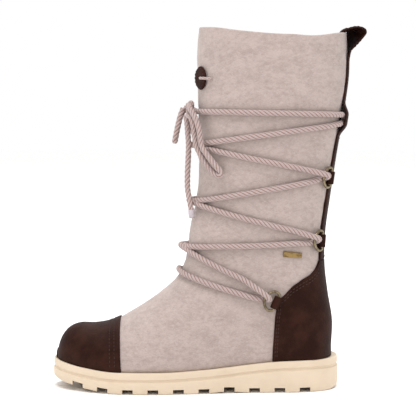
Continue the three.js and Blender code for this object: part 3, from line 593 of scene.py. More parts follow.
def roundsAlong(path, sides, ups, radius, turn):  # a round of points about each point of a path
    sides, ups = (np.broadcast_to(way, path.shape)[:, None] for way in (sides, ups))
    radius, turn = (values[..., None] for values in np.broadcast_arrays(radius, turn))
    return path[:, None] + radius * (np.cos(turn) * sides + np.sin(turn) * ups)


def tube(rounds, start=None, end=None):  # closed at both ends, about a middle point where one is given
    rows, sides = rounds.shape[:2]
    points, faces = list(rounds.reshape(-1, 3)), gridFaces(rows, sides, around=True)
    for first, middle in ((0, start), ((rows - 1) * sides, end)):
        rim = [first + k for k in range(sides)]
        if middle is None:
            faces.append(tuple(rim))
        else:
            faces += [(len(points), a, b) for a, b in zip(rim, rim[1:] + rim[:1])]
            points.append(middle)
    return np.array(points), faces


def framesAlong(line):
    ahead = unit(np.gradient(line, axis=0))
    side = np.cross(ahead[0], (0.3, 0.2, 0.93))  # any way that isn't ahead
    sides = []
    for direction in ahead:
        side = unit(side - direction * side.dot(direction))
        sides.append(side)
    sides = np.array(sides)
    return sides, np.cross(ahead, sides)


# Twisted cord: four thick strands with four thin ones in the valleys between them
def strandSection():
    angles = turns(cord["sides"])
    reach = np.zeros(cord["sides"])
    thin = np.zeros(cord["sides"])
    for k in range(8):
        offset, radius = cord["strands"][k % 2]
        away = angles - k * math.pi / 4
        room = radius ** 2 - (offset * np.sin(away)) ** 2
        edge = offset * np.cos(away) + np.sqrt(np.maximum(room, 0))
        hit = np.where((room > 0) & (np.cos(away) > 0), edge, 0)
        thin = np.where(hit > reach, k % 2, thin)
        reach = np.maximum(reach, hit)
    return angles, reach * cord["thick"] / 2, thin


def ropePiece(name, line, material, replaces=(), scale=1.0):
    path = spaced(line, step=cord["step"])
    angles, reach, thin = strandSection()
    twist = 2 * math.pi * lengthsOf(path) / cord["lay"]
    rounds = roundsAlong(path, *framesAlong(path), scale * reach, angles + twist[:, None])
    strands = {"strand": np.concatenate([np.tile(thin, len(path)), [0, 0]])}
    body = tube(rounds, path[0], path[-1])
    return makePiece(name, *body, material, "lace_cord", replaces, strands, sharp=80), path


lace = {
    "lift": 2.3,  # middle of a run above the felt
    "hump": 4.2,  # rise where one run passes over another
    "humpReach": 12,
    "steps": 24,
    "straight": 0.75,
    "stops": {  # along and up in the side view
        "lowUnder": (77.4, 88), "lowOver": (74, 98.5), "midUnder": (34.6, 140.5), "midOver": (33.6, 148.5),
        "highUnder": (25, 198), "highOver": (26, 206.5),
    },
    "front": {"bar": 111.5, "low": 134, "mid": 176.5, "high": 230.5, "knot": 262},
    "tunnelEdge": (2.85, 250.9, 259.1),  # turn, and the heights at which the two halves go in and out
    "bend": 4.1,  # round the wire of a ring
    "apart": 2.5,
    "clear": 13,  # a run leaves a ring over this length
    "closer": 9,  # and comes to one over this
    "knotRoom": 6,
    "barRoom": 6,
}
rings = {
    "places": {  # along, up, slope, lean away from the leg
        "low": (61.5, 85, 24, 8), "mid": (20.4, 141, 4, -10), "high": (12.6, 200.5, 8, -8),
    },
    "lift": 4,
    "wire": 2.6,
    "reach": 11.5,
    "tall": 18.4,
    "points": 84,
    "sides": 14,
    "line": [
        (0, -0.86), (0, -0.4), (0, 0.4), (0, 0.86), (0.4, 1), (0.83, 0.6), (1, 0), (0.83, -0.6), (0.4, -1),
    ],
    "tabWidth": 12,
}


def ringFrame(name, side):
    x, up, slope, lean = rings["places"][name]
    turn = turnAt(x, up, side)
    place = placeAt(up, turn)
    normal = lastNormal(place, turn)
    ahead = np.array([math.cos(math.radians(slope)), 0, math.sin(math.radians(slope))])
    ahead = unit(ahead - normal * ahead.dot(normal))
    bar = np.cross(normal, ahead)
    lean = math.radians(lean)
    reach = ahead * math.cos(lean) + normal * math.sin(lean)
    return lastPoint(place, turn) + normal * rings["lift"], np.stack([reach, bar, np.cross(reach, bar)])


ringFrames = {(name, side): ringFrame(name, side) for name in rings["places"] for side in (1, -1)}


def inRing(key, points):
    origin, axes = ringFrames[key]
    return origin + np.asarray(points, float) @ axes


# Points of one run round the leg, from one place (up, turn) to another
def laceRun(start, end):
    t = np.linspace(0, 1, lace["steps"] + 1)
    turn = start[1] + (end[1] - start[1]) * t
    firstX, lastX = (legPoint(up, at, 0.0)[0] for up, at in (start, end))
    up = start[0] + (end[0] - start[0]) * t
    for _ in range(8):
        seen = (legPoint(up, turn, 0.0 * up)[:, 0] - firstX) / (lastX - firstX)
        up = start[0] + (end[0] - start[0]) * (lace["straight"] * seen + (1 - lace["straight"]) * t)
    return np.stack([up, turn], 1)


def stopAt(name, side):
    x, up = lace["stops"][name]
    return up, turnAt(x, up, side)


def frontAt(name, turn=0.0):
    return lace["front"][name], turn


# Lace points from runs, raised where this run is the upper one of a crossing
def onFelt(runs, humps=()):
    stations = np.concatenate([run if i == 0 else run[1:] for i, run in enumerate(runs)])
    flat = legPoint(stations[:, 0], stations[:, 1], np.full(len(stations), lace["lift"]))
    lift = np.full(len(stations), lace["lift"])
    for name, turn in humps:
        top = legPoint(*frontAt(name, turn), lace["lift"])
        away = np.linalg.norm(flat - top, axis=1)
        lift += lace["hump"] * np.exp(-(away / lace["humpReach"]) ** 2)
    return legPoint(stations[:, 0], stations[:, 1], lift)


# Round the wire of a ring, from below it to above it
def throughRing(key):
    turn = np.linspace(-0.5, 0.5, 9) * math.pi
    bend, apart = lace["bend"], lace["apart"] * key[1]
    points = np.stack([
        rings["reach"] - bend * np.cos(turn), np.linspace(apart, -apart, 9), bend * np.sin(turn)], 1)
    return inRing(key, points)


def trimmed(line, start, end):  # without its first and last stretch
    marks = lengthsOf(line)
    return line[(marks >= start) & (marks <= marks[-1] - end)]


def halfLace(side, over):
    clear, closer = lace["clear"], lace["closer"]
    edge, lowIn, highOut = lace["tunnelEdge"]
    into, outOf = (lowIn, -side * edge), (highOut, -side * (2 * math.pi - edge))
    low = onFelt([laceRun(stopAt("lowOver", side), frontAt("low")),
                  laceRun(frontAt("low"), stopAt("midUnder", -side))], [("low", 0.0)] if over else [])
    mid = onFelt([laceRun(stopAt("midOver", -side), frontAt("mid")),
                  laceRun(frontAt("mid"), stopAt("highUnder", side))], [] if over else [("mid", 0.0)])
    top = onFelt([laceRun(stopAt("highOver", side), frontAt("high")), laceRun(frontAt("high"), into),
                  np.linspace(into, outOf, 9), laceRun(outOf, frontAt("knot", -side * 2 * math.pi))],
                 [("high", 0.0)] if over else [])
    return np.concatenate([
        throughRing(("low", side)), trimmed(low, clear, closer),
        throughRing(("mid", -side)), trimmed(mid, clear, closer),
        throughRing(("high", side)), trimmed(top, clear, lace["knotRoom"]),
        np.add(bow["knot"], np.multiply(bow["laceIn"], (1, side, 1)))[None]])


def laceLine():
    bar = onFelt([laceRun(stopAt("lowUnder", -1), frontAt("bar")),
                  laceRun(frontAt("bar"), stopAt("lowUnder", 1))])
    room = lace["barRoom"]
    route = np.concatenate([halfLace(-1, False)[::-1], trimmed(bar, room, room), halfLace(1, True)])
    return curveThrough(route, perSpan=8)


bow = {
    "knot": (141, 0, 265),
    "laceIn": (-1.5, -2.5, -1),  # end of the lace, from the knot's middle
    "over": 10.5,  # lift of a cord that lies over a run
    "exits": {  # from the knot's middle
        "outerUpper": (0, 8.5, 2), "outerLower": (2, 6, -6.5), "frontOuter": (6.5, -3, 0),
        "frontInner": (3, -8.5, 1), "endFront": (4, 0, -7), "endInner": (1, -7.5, -7),
    },
    "loopOuter": [  # up, turn, lift above or below over
        (265, 0.27, 0), (255.5, 0.47, 0), (246, 0.56, 0), (237, 0.59, 0), (229, 0.63, -0.4),
        (221.5, 0.74, -1.2), (213, 0.86, -2.8), (206, 0.95, -4.6), (203.2, 0.91, -5), (206, 0.8, -4.6),
        (214, 0.67, -2.8), (222, 0.57, -1.2), (230, 0.48, -0.4), (238, 0.44, 0), (247, 0.41, 0),
        (256, 0.32, 0),
    ],
    "endInner": [
        (249, -0.3, 0), (232, -0.5, 0), (214, -0.62, -1), (196, -0.68, -1), (182, -0.7, 0), (168, -0.72, 0),
    ],
    "loopFront": [  # along, out, up
        (150.5, -3, 257), (153.4, -4.4, 245), (155.6, -8.6, 234), (155.2, -14.2, 234.6), (153, -15.4, 246),
        (149.4, -12.4, 259),
    ],
    "endFront": [
        (144, 2, 252), (143.2, 5, 242), (142.4, 8, 231), (142.8, 9.5, 217), (143.4, 10.5, 204),
        (143.4, 12.5, 190), (141.8, 16.5, 180), (140.2, 17.5, 171), (139.4, 16, 162),
    ],
    "tip": 9,
    "tipSwell": (0.98, 1.06, 1.07, 1.07, 1.06, 1.05, 1.03, 0.97, 0.8),
    "knotSwing": (3.6, 1.7),
    "knotSize": (1.9, 1.25, 1.05),
    "knotCord": 0.86,
}


def exitAt(name):
    return np.add(bow["knot"], bow["exits"][name])[None]


def onLeg(stations):
    up, turn, lift = np.array(stations, float).T
    return legPoint(up, turn, bow["over"] + lift)


def knotPiece(material):
    t = np.linspace(0, 2 * math.pi, 90)
    deep, wide, tall = bow["knotSize"]
    swing = bow["knotSwing"][0] + bow["knotSwing"][1] * np.cos(3 * t)
    line = np.stack([deep * np.sin(3 * t), wide * swing * np.cos(2 * t), tall * swing * np.sin(2 * t)], 1)
    return ropePiece("lace_knot_wound", line + bow["knot"], material, ["lace_knot"], bow["knotCord"])[0]


def tipPiece(name, path, material):
    swell = cord["thick"] / 2 * np.array(bow["tipSwell"])
    end = spaced(trimmed(path, lengthsOf(path)[-1] - bow["tip"], 0), count=len(swell))
    rounds = roundsAlong(end, *framesAlong(end), swell[:, None], turns(20))
    return makePiece(name, *tube(rounds, end=end[-1]), material, "lace_cord")


def bowCords(material, tipMaterial):
    knot = knotPiece(material)
    routes = {
        "lace_loop_outer": (exitAt("outerUpper"), onLeg(bow["loopOuter"]), exitAt("outerLower")),
        "lace_loop_front": (exitAt("frontOuter"), bow["loopFront"], exitAt("frontInner")),
        "lace_end_front": (exitAt("endFront"), bow["endFront"]),
        "lace_end_inner": (exitAt("endInner"), onLeg(bow["endInner"])),
    }
    for node, stretches in routes.items():
        piece, path = ropePiece(node + "_rope", curveThrough(np.concatenate(stretches)), material, [node])
        others = [knot] if node == "lace_loop_outer" else []
        farEnd = "bare" if node.startswith("lace_end") else "knot"
        if farEnd == "bare":
            others.append(tipPiece(node + "_tip", path, tipMaterial))
        line = toWorld(path)
        float(lengthsOf(line)[-1])
    print("bow tied")


# Felt
shaft = {
    "rows": 250,
    "columns": 168,
    "uneven": [(0.22, 5, 42), (0.1, 6, 15)],  # height, seed, reach
    "laceDent": -1.0,
    "laceWidth": 4.8,
    "ringDent": -1.3,
    "ringWidth": 5.5,
    "ringUnder": (-1, 0, -4.5),  # from the end of a ring
    "creaseBend": (1.6, 5),
    "creaseFade": (0.12, 0.76),
    "waveFrom": 21,  # row of the last below the collar
    "rimRise": 1.1,
    "rimPower": 0.7,
    "creases": [  # up and turn of its start and end, depth, width
        (124, 0.0, 131, 0.9, -0.9, 5.0), (124, 0.0, 131, -0.9, -0.9, 5.0),
        (104, 0.1, 118, 1.1, -0.7, 6.0), (104, -0.1, 118, -1.1, -0.7, 6.0),
        (150, 0.5, 158, 1.5, 0.7, 9.0), (150, -0.5, 158, -1.5, 0.7, 9.0),
        (205, 0.35, 214, 1.3, 0.6, 9.0), (205, -0.5, 216, -1.4, 0.6, 9.0),
        (300, 0.16, 236, 0.2, -0.6, 5.0), (285, 1.0, 318, 1.35, -0.7, 14.0),
        (288, 2.0, 322, 2.3, 0.8, 16.0), (120, 1.9, 150, 2.3, -0.6, 8.0), (120, -1.9, 150, -2.3, -0.6, 8.0),
    ],
    "collarWaves": [  # turn, rise, width
        (0.75, 1.8, 0.35), (1.35, 2.8, 0.5), (1.8, 0.9, 0.18), (2.5, 0.7, 0.3), (-0.7, 1.0, 0.4),
        (-1.9, 1.6, 0.5),
    ],
}


def nearest(points, line, batch=1500):  # distance to a line's points, and the number of the nearest
    away, which = np.empty(len(points)), np.empty(len(points), int)
    for i in range(0, len(points), batch):
        squares = ((points[i:i + batch, None] - line) ** 2).sum(-1)
        away[i:i + batch] = np.sqrt(squares.min(1))
        which[i:i + batch] = squares.argmin(1)
    return away, which


def unevenness(points, seed, reach, count=14):
    mix = np.random.default_rng(seed)
    total = np.zeros(points.shape[:-1])
    for _ in range(count):
        wave = mix.normal(size=3) * 2 * math.pi / reach
        total += np.sin(points @ wave + mix.uniform(0, 2 * math.pi))
    return total / math.sqrt(count)


def feltRelief(points, laces):
    flat = points.reshape(-1, 3)
    relief = sum(height * unevenness(flat, seed, reach) for height, seed, reach in shaft["uneven"])
    relief += shaft["laceDent"] * np.exp(-(nearest(flat, laces)[0] / shaft["laceWidth"]) ** 2)
    swing, waves = shaft["creaseBend"]
    faint, strong = shaft["creaseFade"]
    for up0, turn0, up1, turn1, depth, width in shaft["creases"]:
        t = np.linspace(0, 1, 40)
        bent = up0 + (up1 - up0) * t + swing * np.sin(t * waves + up0)
        line = legPoint(bent, turn0 + (turn1 - turn0) * t, 0 * t)
        coarse = line[::4]
        fade = np.sin(math.pi * (faint + strong * nearest(flat, coarse)[1] / (len(coarse) - 1)))
        relief += depth * fade * np.exp(-(nearest(flat, line)[0] / width) ** 2)
    for key in ringFrames:
        under = inRing(key, np.add((rings["reach"], 0, 0), shaft["ringUnder"])[None])
        relief += shaft["ringDent"] * np.exp(-(nearest(flat, under)[0] / shaft["ringWidth"]) ** 2)
    return relief.reshape(points.shape[:-1])


def lastPlaces(count):
    fine = np.linspace(0, last["collarRow"], 1200)
    walks = [lengthsOf(lastPoint(fine, turn)) for turn in (0.0, math.pi / 2, math.pi)]
    travel = sum(walk / walk[-1] for walk in walks)
    return np.interp(np.linspace(0, travel[-1], count), travel, fine)


lastPlace, lastTurn = np.meshgrid(lastPlaces(shaft["rows"]), turns(shaft["columns"]), indexing="ij")
lastSkin, lastOut = lastPoint(lastPlace, lastTurn), lastNormal(lastPlace, lastTurn)


def feltSkins(laces):  # both faces, the way up at the collar, and what is above the sole
    kept = lastSkin[..., 2] > seatAt(lastSkin[..., 0]) + gap
    edge = np.clip((lastPlace - shaft["waveFrom"]) / (last["collarRow"] - shaft["waveFrom"]), 0, 1) ** 2
    bend = np.angle(np.exp(1j * lastTurn))
    wave = sum(rise * np.exp(-((bend - at) / width) ** 2) for at, rise, width in shaft["collarWaves"])
    base = lastSkin.copy()
    base[..., 2] += edge * wave
    outer = base + lastOut * feltRelief(lastSkin, laces)[..., None]
    inner = base - lastOut * feltWall
    for skin in (outer, inner):
        skin[..., 2] = np.maximum(skin[..., 2], seatAt(skin[..., 0]) + gap)
    return outer, inner, unit(base[-1] - base[-2]), kept


def feltUpper(material, laces):
    outer, inner, up, kept = feltSkins(laces)
    middle, half = (outer[-1] + inner[-1]) / 2, (outer[-1] - inner[-1]) / 2
    rim = []
    for a in np.linspace(0, math.pi, 7)[1:-1]:  # rounded collar edge
        reach = np.sign(math.cos(a)) * abs(math.cos(a)) ** shaft["rimPower"]
        rim.append(middle + half * reach + up * shaft["rimRise"] * math.sin(a))
    rows, columns = kept.shape
    points = np.concatenate([outer, rim, inner[::-1]]).reshape(-1, 3)
    total = 2 * rows + len(rim)
    following = np.roll(kept, -1, 1)
    shown = kept[:-1] | kept[1:] | following[:-1] | following[1:]
    hidden = np.concatenate([~shown, np.zeros((len(rim) + 1, columns), bool), ~shown[::-1]]).ravel()
    grid = gridFaces(total, columns, around=True)
    faces = [face for face, left in zip(grid, hidden) if not left]
    above = np.concatenate([np.zeros((1, columns), bool), shown[:-1]])
    above[0, -1] = shown[0, -1]  # no wall at the tip of the toe, under the cap

    def inside(i, k):
        return (total - 1 - i) * columns + k

    for i in range(rows - 1):  # the cut edge along the sole
        for k in range(columns):
            after = (k + 1) % columns
            if shown[i, k] != shown[i, after]:
                faces.append((i * columns + after, (i + 1) * columns + after, inside(i + 1, after),
                              inside(i, after)))
            if shown[i, k] != above[i, k]:
                faces.append((i * columns + k, i * columns + after, inside(i, after), inside(i, k)))
    piece = makePiece("felt_upper", points, faces, material, "felt", ["upper"], sharp=70)
    print("felt upper made:", len(piece.data.polygons), "faces")


# Leather: plates that lie on the last
skinPoints, skinNormals = lastSkin.reshape(-1, 3), lastOut.reshape(-1, 3)
skinFaces = gridFaces(*lastPlace.shape, around=True)
skinTree = BVHTree.FromPolygons(skinPoints.tolist(), skinFaces)


def onLast(starts, directions):  # where lines from inside meet the last, and its normals there
    starts, directions = np.broadcast_arrays(np.asarray(starts, float), np.asarray(directions, float))
    spots, normals = [], []
    for start, direction in zip(starts.reshape(-1, 3), directions.reshape(-1, 3)):
        spot, _, face, _ = skinTree.ray_cast(Vector(start), Vector(direction))
        corners = list(skinFaces[face])
        weights = 1 / (0.05 + np.linalg.norm(skinPoints[corners] - spot, axis=1))
        spots.append(spot)
        normals.append(unit((skinNormals[corners] * weights[:, None]).sum(0)))
    return np.array(spots).reshape(starts.shape), np.array(normals).reshape(starts.shape)


def edgeSteps(count, rim):  # shares across a plate, close together in a rim at both ends
    edge = np.array([0, 0, rim * 0.35, rim])
    return np.concatenate([edge, np.linspace(rim, 1 - rim, count)[1:-1], 1 - edge[::-1]])


def plateLift(rows, columns, low, high):
    ease = np.array([0, 0.55, 0.9, 1.0])
    across = [ease[np.minimum(np.minimum(np.arange(n), np.arange(n)[::-1]), 3)] for n in (rows, columns)]
    return low + (high - low) * np.minimum(across[0][:, None], across[1][None, :])


def platePiece(name, spots, normals, low, high, material, slot, replaces=(), extra=0.0):
    rows, columns = spots.shape[:2]
    count = rows * columns
    lift = plateLift(rows, columns, low, high) + extra
    top = spots + normals * lift[..., None]
    under = spots + normals * (low + np.broadcast_to(extra, lift.shape))[..., None]
    points = np.concatenate([top, under]).reshape(-1, 3)
    border = np.zeros((rows, columns), bool)
    border[[0, -1]] = border[:, [0, -1]] = True
    below = np.where(border.ravel(), np.arange(count), np.arange(count) + count)
    faces = gridFaces(rows, columns)
    faces += [tuple(int(below[v]) for v in reversed(face)) for face in faces]
    return makePiece(name, points, faces, material, slot, replaces, sharp=60, weld=True)


seams = {
    "pitch": 3.6,
    "long": 1.25,
    "thick": 0.38,
    "inset": 2.6,
    "arch": 0.1,
}


# Stitches in a row along a line of points with normals
def stitchBodies(line, normals, lift):
    marks = lengthsOf(line)
    at = np.arange(seams["pitch"], marks[-1] - seams["pitch"] / 2, seams["pitch"])
    share = np.array([-1, -0.7, 0, 0.7, 1])
    swell = np.sqrt(np.maximum(0.02, 1 - share ** 2))[:, None] * seams["thick"]
    rise, reach = (lift + seams["arch"] * (1 - share ** 2))[:, None], (share * seams["long"])[:, None]
    tables = line, normals, np.gradient(line, marks, axis=0)
    for spot, out, ahead in zip(*(valuesAt(at, marks, table) for table in tables)):
        out, ahead = unit(out), unit(ahead)
        yield tube(roundsAlong(spot + out * rise + ahead * reach, np.cross(out, ahead), out, swell, turns(6)))


def stitchPiece(name, rows, material):
    bodies = [body for row in rows for body in stitchBodies(*row)]
    makePiece(name, *joinBodies(bodies), material, "leather", sharp=80)


def sideTurn(place):  # turn at which a section comes down to the sole, outer and inner
    ends = []
    for side in (1, -1):
        def above(turn):
            point = lastPoint(place, side * turn)
            return point[..., 2] > seatAt(point[..., 0]) + gap

        ends.append(side * halved(np.full(place.shape, 0.6), np.full(place.shape, math.pi), above))
    return ends


toeCap = {
    "edge": ((207.5, 70), (205, 20)),  # along and up of its back edge, at the top and at the side
    "rowsSearched": (4.0, 9.0),  # of the last
    "sideRow": 7.0,
    "rows": (46, 0.02),  # count and rim
    "columns": (110, 0.008),
    "nose": 4,
    "noseReach": 2.2,
    "noseFlat": 0.03,
    "cornerShare": 0.98,
    "seams": (0.045, 0.085),
}


def capPlace(turn):
    (topX, topZ), (sideX, sideZ) = toeCap["edge"]

    def ahead(place):
        point = lastPoint(place, turn)
        return point[..., 0] > sideX + (topX - sideX) * (point[..., 2] - sideZ) / (topZ - sideZ)

    low, high = (np.full(turn.shape, row) for row in toeCap["rowsSearched"])
    return halved(low, high, ahead)


def toeCapPiece(material, thread):
    share = edgeSteps(*toeCap["columns"]) * 2 - 1
    outerEnd, innerEnd = sideTurn(np.array(toeCap["sideRow"]))
    end = capPlace(np.where(share > 0, outerEnd, -innerEnd) * share * toeCap["cornerShare"])
    along = (1 - edgeSteps(*toeCap["rows"]))[:-3]
    place = along[:, None] * end
    outer, inner = sideTurn(place)
    turn = np.where(share > 0, outer * share, -inner * share)
    spots, normals = lastPoint(place, turn), lastNormal(place, turn)
    rims, rimNormals = spots[-1], normals[-1]
    foot = (rims[0] + rims[-1]) / 2
    nose, noseNormals = [], []
    for a in np.linspace(0, math.pi / 2, toeCap["nose"] + 1)[1:]:  # rounded end of the toe
        shrink = math.cos(a) * (1 - toeCap["noseFlat"]) + toeCap["noseFlat"]
        nose.append(foot + (rims - foot) * shrink + np.array([toeCap["noseReach"] * math.sin(a), 0, 0]))
        noseNormals.append(unit(rimNormals * math.cos(a) + np.array([math.sin(a), 0, 0])))
    spots, normals = np.concatenate([spots, nose]), np.concatenate([normals, noseNormals])
    platePiece("leather_toe_cap", spots, normals, gap, overLift, material, "leather", ["toe_cap"])
    rows = []
    for inset in toeCap["seams"]:
        line, outs = (find((1 - inset) * end, turn[2])[8:-8] for find in (lastPoint, lastNormal))
        rows.append((line, outs, overLift))
    stitchPiece("toe_cap_stitches", rows, thread)
    print("toe cap made")


counter = {
    "axis": 52,
    "front": ((65, 22), (62, 70), (61, 77)),  # along and up of the front edge
    "top": (
        (61, 77), (58, 88), (53.4, 91.5), (46, 99.5), (37, 105.5), (29, 109.6), (24.8, 113.8), (22.2, 118),
        (20.6, 122),
    ),
    "radius": 43,  # of the heel
    "level": 76,  # where the search for a height starts
    "lowest": 32,
    "columns": (150, 0.006),
    "rows": (60, 0.012),
    "seams": (0.028, 0.052),
    "seamFoot": 0.05,
    "seamBack": 0.16,
}


def angleAt(x, up, side):
    spot, _ = onLast([(x, 0, up)], [(0, side, 0)])
    return math.atan2(spot[0, 1] * side, counter["axis"] - spot[0, 0])


def counterSpots(column, row):  # shares from the back to each front edge, and from the sole up
    frontX, frontZ = np.array(counter["front"]).T
    topX, tops = np.array(counter["top"]).T
    angles, edges = [], []
    for side in (1, -1):
        angles.append([angleAt(x, up, side) for x, up in zip(topX[::-1], tops[::-1])])
        edges.append([angleAt(x, max(up, counter["lowest"]), side) for x, up in zip(frontX, frontZ)])
    level = counter["level"] + 0 * column
    for _ in range(3):
        edge = np.where(column > 0, *(np.interp(level, frontZ, one) for one in edges))
        angle = np.abs(column) * edge
        high = np.where(column > 0, *(np.interp(angle, one, tops[::-1]) for one in angles))
        low = seatAt(counter["axis"] - counter["radius"] * np.cos(angle)) + gap + 0.1
        level = low + (high - low) * row
    angle = angle * np.where(column > 0, 1, -1)
    starts = np.stack([counter["axis"] + 0 * angle, 0 * angle, level], -1)
    return onLast(starts, np.stack([-np.cos(angle), np.sin(angle), 0 * angle], -1))


def counterPiece(material, thread):
    share, rise = edgeSteps(*counter["columns"]) * 2 - 1, edgeSteps(*counter["rows"])
    spots, normals = counterSpots(*np.meshgrid(share, rise))
    platePiece("leather_counter", spots, normals, gap, overLift, material, "leather", ["heel_counter"])
    rows = []
    for inset in counter["seams"]:
        across, top = 1 - inset, 1 - inset * 1.6
        share = np.concatenate([np.full(20, across), np.linspace(across, counter["seamBack"], 60)[1:]])
        rise = np.concatenate([np.linspace(counter["seamFoot"], top, 20), np.full(59, top)])
        for side in (1, -1):
            rows.append((*counterSpots(share * side, rise), overLift))
    stitchPiece("counter_stitches", rows, thread)
    print("counter made")


strap = {
    "lowHalf": 21,  # tapers from the foot to the top
    "highHalf": 14.6,
    "ear": 3,
    "earEase": 3,
    "foot": 122.3,
    "top": 319.5,
    "bulge": 255,  # over the lace
    "flat": 4,
    "ramp": 13,
    "rise": 5.1,
    "seamAway": 18,  # from the middle of the bulge
    "seamFoot": 2.4,
    "seamRoom": 3,
    "free": 307,  # above this its outer edge leans away from the felt
    "lean": 3.4,
    "rows": (150, 0.006),
    "columns": (34, 0.03),
    "middle": 70,
}


def strapRise(up, share):  # share across, from -1 on the inner side to 1 on the outer
    away = np.maximum(np.abs(up - strap["bulge"]) - strap["flat"], 0) / strap["ramp"]
    free = np.clip((up - strap["free"]) / (strap["top"] - strap["free"]), 0, 1)
    over = strap["rise"] * (0.5 + 0.5 * np.cos(math.pi * np.minimum(away, 1)))
    return over + strap["lean"] * free ** 2 * (0.5 + 0.5 * share)


def strapHalf(up):
    half = np.interp(up, (strap["foot"], strap["top"]), (strap["lowHalf"], strap["highHalf"]))
    for name in ("mid", "high"):
        away = np.abs(up - rings["places"][name][1])
        half = half + strap["ear"] * np.clip((rings["tabWidth"] / 2 - away) / strap["earEase"] + 1, 0, 1)
    return half


def onBack(out, up):
    start = np.stack([strap["middle"] + 0 * out, out, up], -1)
    return onLast(start, (-1.0, 0, 0))


def strapPiece(material, thread):
    up = strap["foot"] + (strap["top"] - strap["foot"]) * edgeSteps(*strap["rows"])
    share = edgeSteps(*strap["columns"]) * 2 - 1
    out = share[None, :] * strapHalf(up)[:, None]
    spots, normals = onBack(out, np.broadcast_to(up[:, None], out.shape))
    platePiece("leather_back_strap", spots, normals, gap, overLift, material, "leather", ["back_strap"],
               extra=strapRise(up[:, None], share[None, :]))

    def seam(across, level, inset):
        line, outs = onBack(across * (strapHalf(level) - inset), level)
        return line + outs * strapRise(level, across)[:, None], outs, overLift

    room = strap["seamRoom"]
    level = np.linspace(strap["foot"] + room, strap["top"] - room, 160)
    rows = [seam(side, level, seams["inset"]) for side in (1, -1)]
    across = np.linspace(-1, 1, 30)
    low, high = (strap["bulge"] + side * strap["seamAway"] for side in (-1, 1))
    for height in (strap["foot"] + strap["seamFoot"], low, high):
        rows.append(seam(across, np.full(30, height), room))
    stitchPiece("strap_stitches", rows, thread)
    print("back strap made")


pull = {  # edges of the loop, flopped towards the outer side
    "inner": [
        (-9.2, 319.7), (-9.6, 325), (-10.2, 330), (-11, 335), (-11.2, 338.4), (-9.8, 340.3), (-7.6, 339.8),
        (-5.4, 338.2), (-3.4, 335.6), (-2.1, 331), (-1.7, 320),
    ],
    "outer": [
        (-12.4, 319.7), (-15.6, 323), (-19.8, 327.2), (-23.7, 331.6), (-26.4, 335.4), (-25.8, 338.4),
        (-22.6, 340.2), (-17, 340.9), (-11, 339.8), (-6.4, 338.2), (-3.6, 335.6), (-2.1, 331), (-1.7, 320),
    ],
    "round": 47,
    "rows": (70, 0.012),
    "columns": (30, 0.03),
    "seam": (0.02, 0.98),
}

pullEdges = []
for line in (pull["inner"], pull["outer"]):
    pullEdges.append(spaced(curveThrough([(x, 0, z) for x, z in line]), count=400))


def pullPoint(where, share):  # along the strip, and across it from the inner to the outer edge
    inner, outer = (valuesAt(where, np.linspace(0, 1, len(edge)), edge) for edge in pullEdges)
    across = share * strap["highHalf"]
    spots = inner + (outer - inner) * ((share + 1) / 2)[..., None]
    return spots + np.stack([across ** 2 / (2 * pull["round"]), across, 0 * across], -1)


def pullNormal(where, share):
    ahead = pullPoint(where + 0.004, share) - pullPoint(where - 0.004, share)
    wide = pullPoint(where, share + 0.02) - pullPoint(where, share - 0.02)
    return unit(np.cross(ahead, wide))


def pullPiece(material, thread):
    share, where = np.meshgrid(edgeSteps(*pull["columns"]) * 2 - 1, edgeSteps(*pull["rows"]))
    half = leatherWall / 2
    platePiece("leather_pull_loop", pullPoint(where, share), pullNormal(where, share), -half, half, material,
               "leather", ["pull_loop"])
    where = np.linspace(*pull["seam"], 120)
    rows = []
    for side in (1, -1):
        share = np.full(120, side * (1 - seams["inset"] / strap["highHalf"]))
        rows.append((pullPoint(where, share), pullNormal(where, share), half))
    stitchPiece("pull_loop_stitches", rows, thread)
    print("pull loop made")


# Rings, and the folded tabs that hold them
tab = {
    "line": [
        (-6.2, -3.2), (-5.3, -2.5), (-3.8, -0.4), (-1.9, 1.85), (0, 2.7), (1.9, 1.9), (2.7, 0), (1.9, -1.9),
        (0, -2.7), (-2.4, -2.5),
    ],
    "thick": 1.5,
    "rows": (40, 0.03),
    "columns": (14, 0.06),
}


def ringBody():
    count, sides = rings["points"], rings["sides"]
    outline = [(x * rings["reach"], y * rings["tall"] / 2, 0) for x, y in rings["line"]]
    line = spaced(curveThrough(outline, closed=True), count=count, closed=True)
    rounds = roundsAlong(line, leftOf(line), (0, 0, 1.0), rings["wire"] / 2, turns(sides))
    faces = gridFaces(count + 1, sides, around=True)
    return rounds.reshape(-1, 3), [tuple(v % (count * sides) for v in face) for face in faces]


def ringPieces(metal, hide):
    ring, faces = ringBody()
    folded = spaced(curveThrough([(x, 0, z) for x, z in tab["line"]]), count=300)
    marks = lengthsOf(folded) / lengthsOf(folded)[-1]
    lead = unit(np.gradient(folded, axis=0))
    out = np.stack([-lead[:, 2], 0 * marks, lead[:, 0]], 1)
    steps, share = edgeSteps(*tab["rows"]), edgeSteps(*tab["columns"]) * 2 - 1
    across = share * rings["tabWidth"] / 2
    spots = valuesAt(steps, marks, folded)[:, None] + across[:, None] * np.array([0, 1, 0])
    outs = np.broadcast_to(valuesAt(steps, marks, out)[:, None], spots.shape)
    half = tab["thick"] / 2
    for key, (_, axes) in ringFrames.items():
        place = f"{'outer' if key[1] > 0 else 'inner'}_{key[0]}"
        makePiece(f"d_ring_{place}", inRing(key, ring), faces, metal, "ring_metal", [f"ring_{place}"])
        platePiece(f"ring_tab_{place}", inRing(key, spots), outs @ axes, -half, half, hide, "leather")
    print("rings and tabs made")


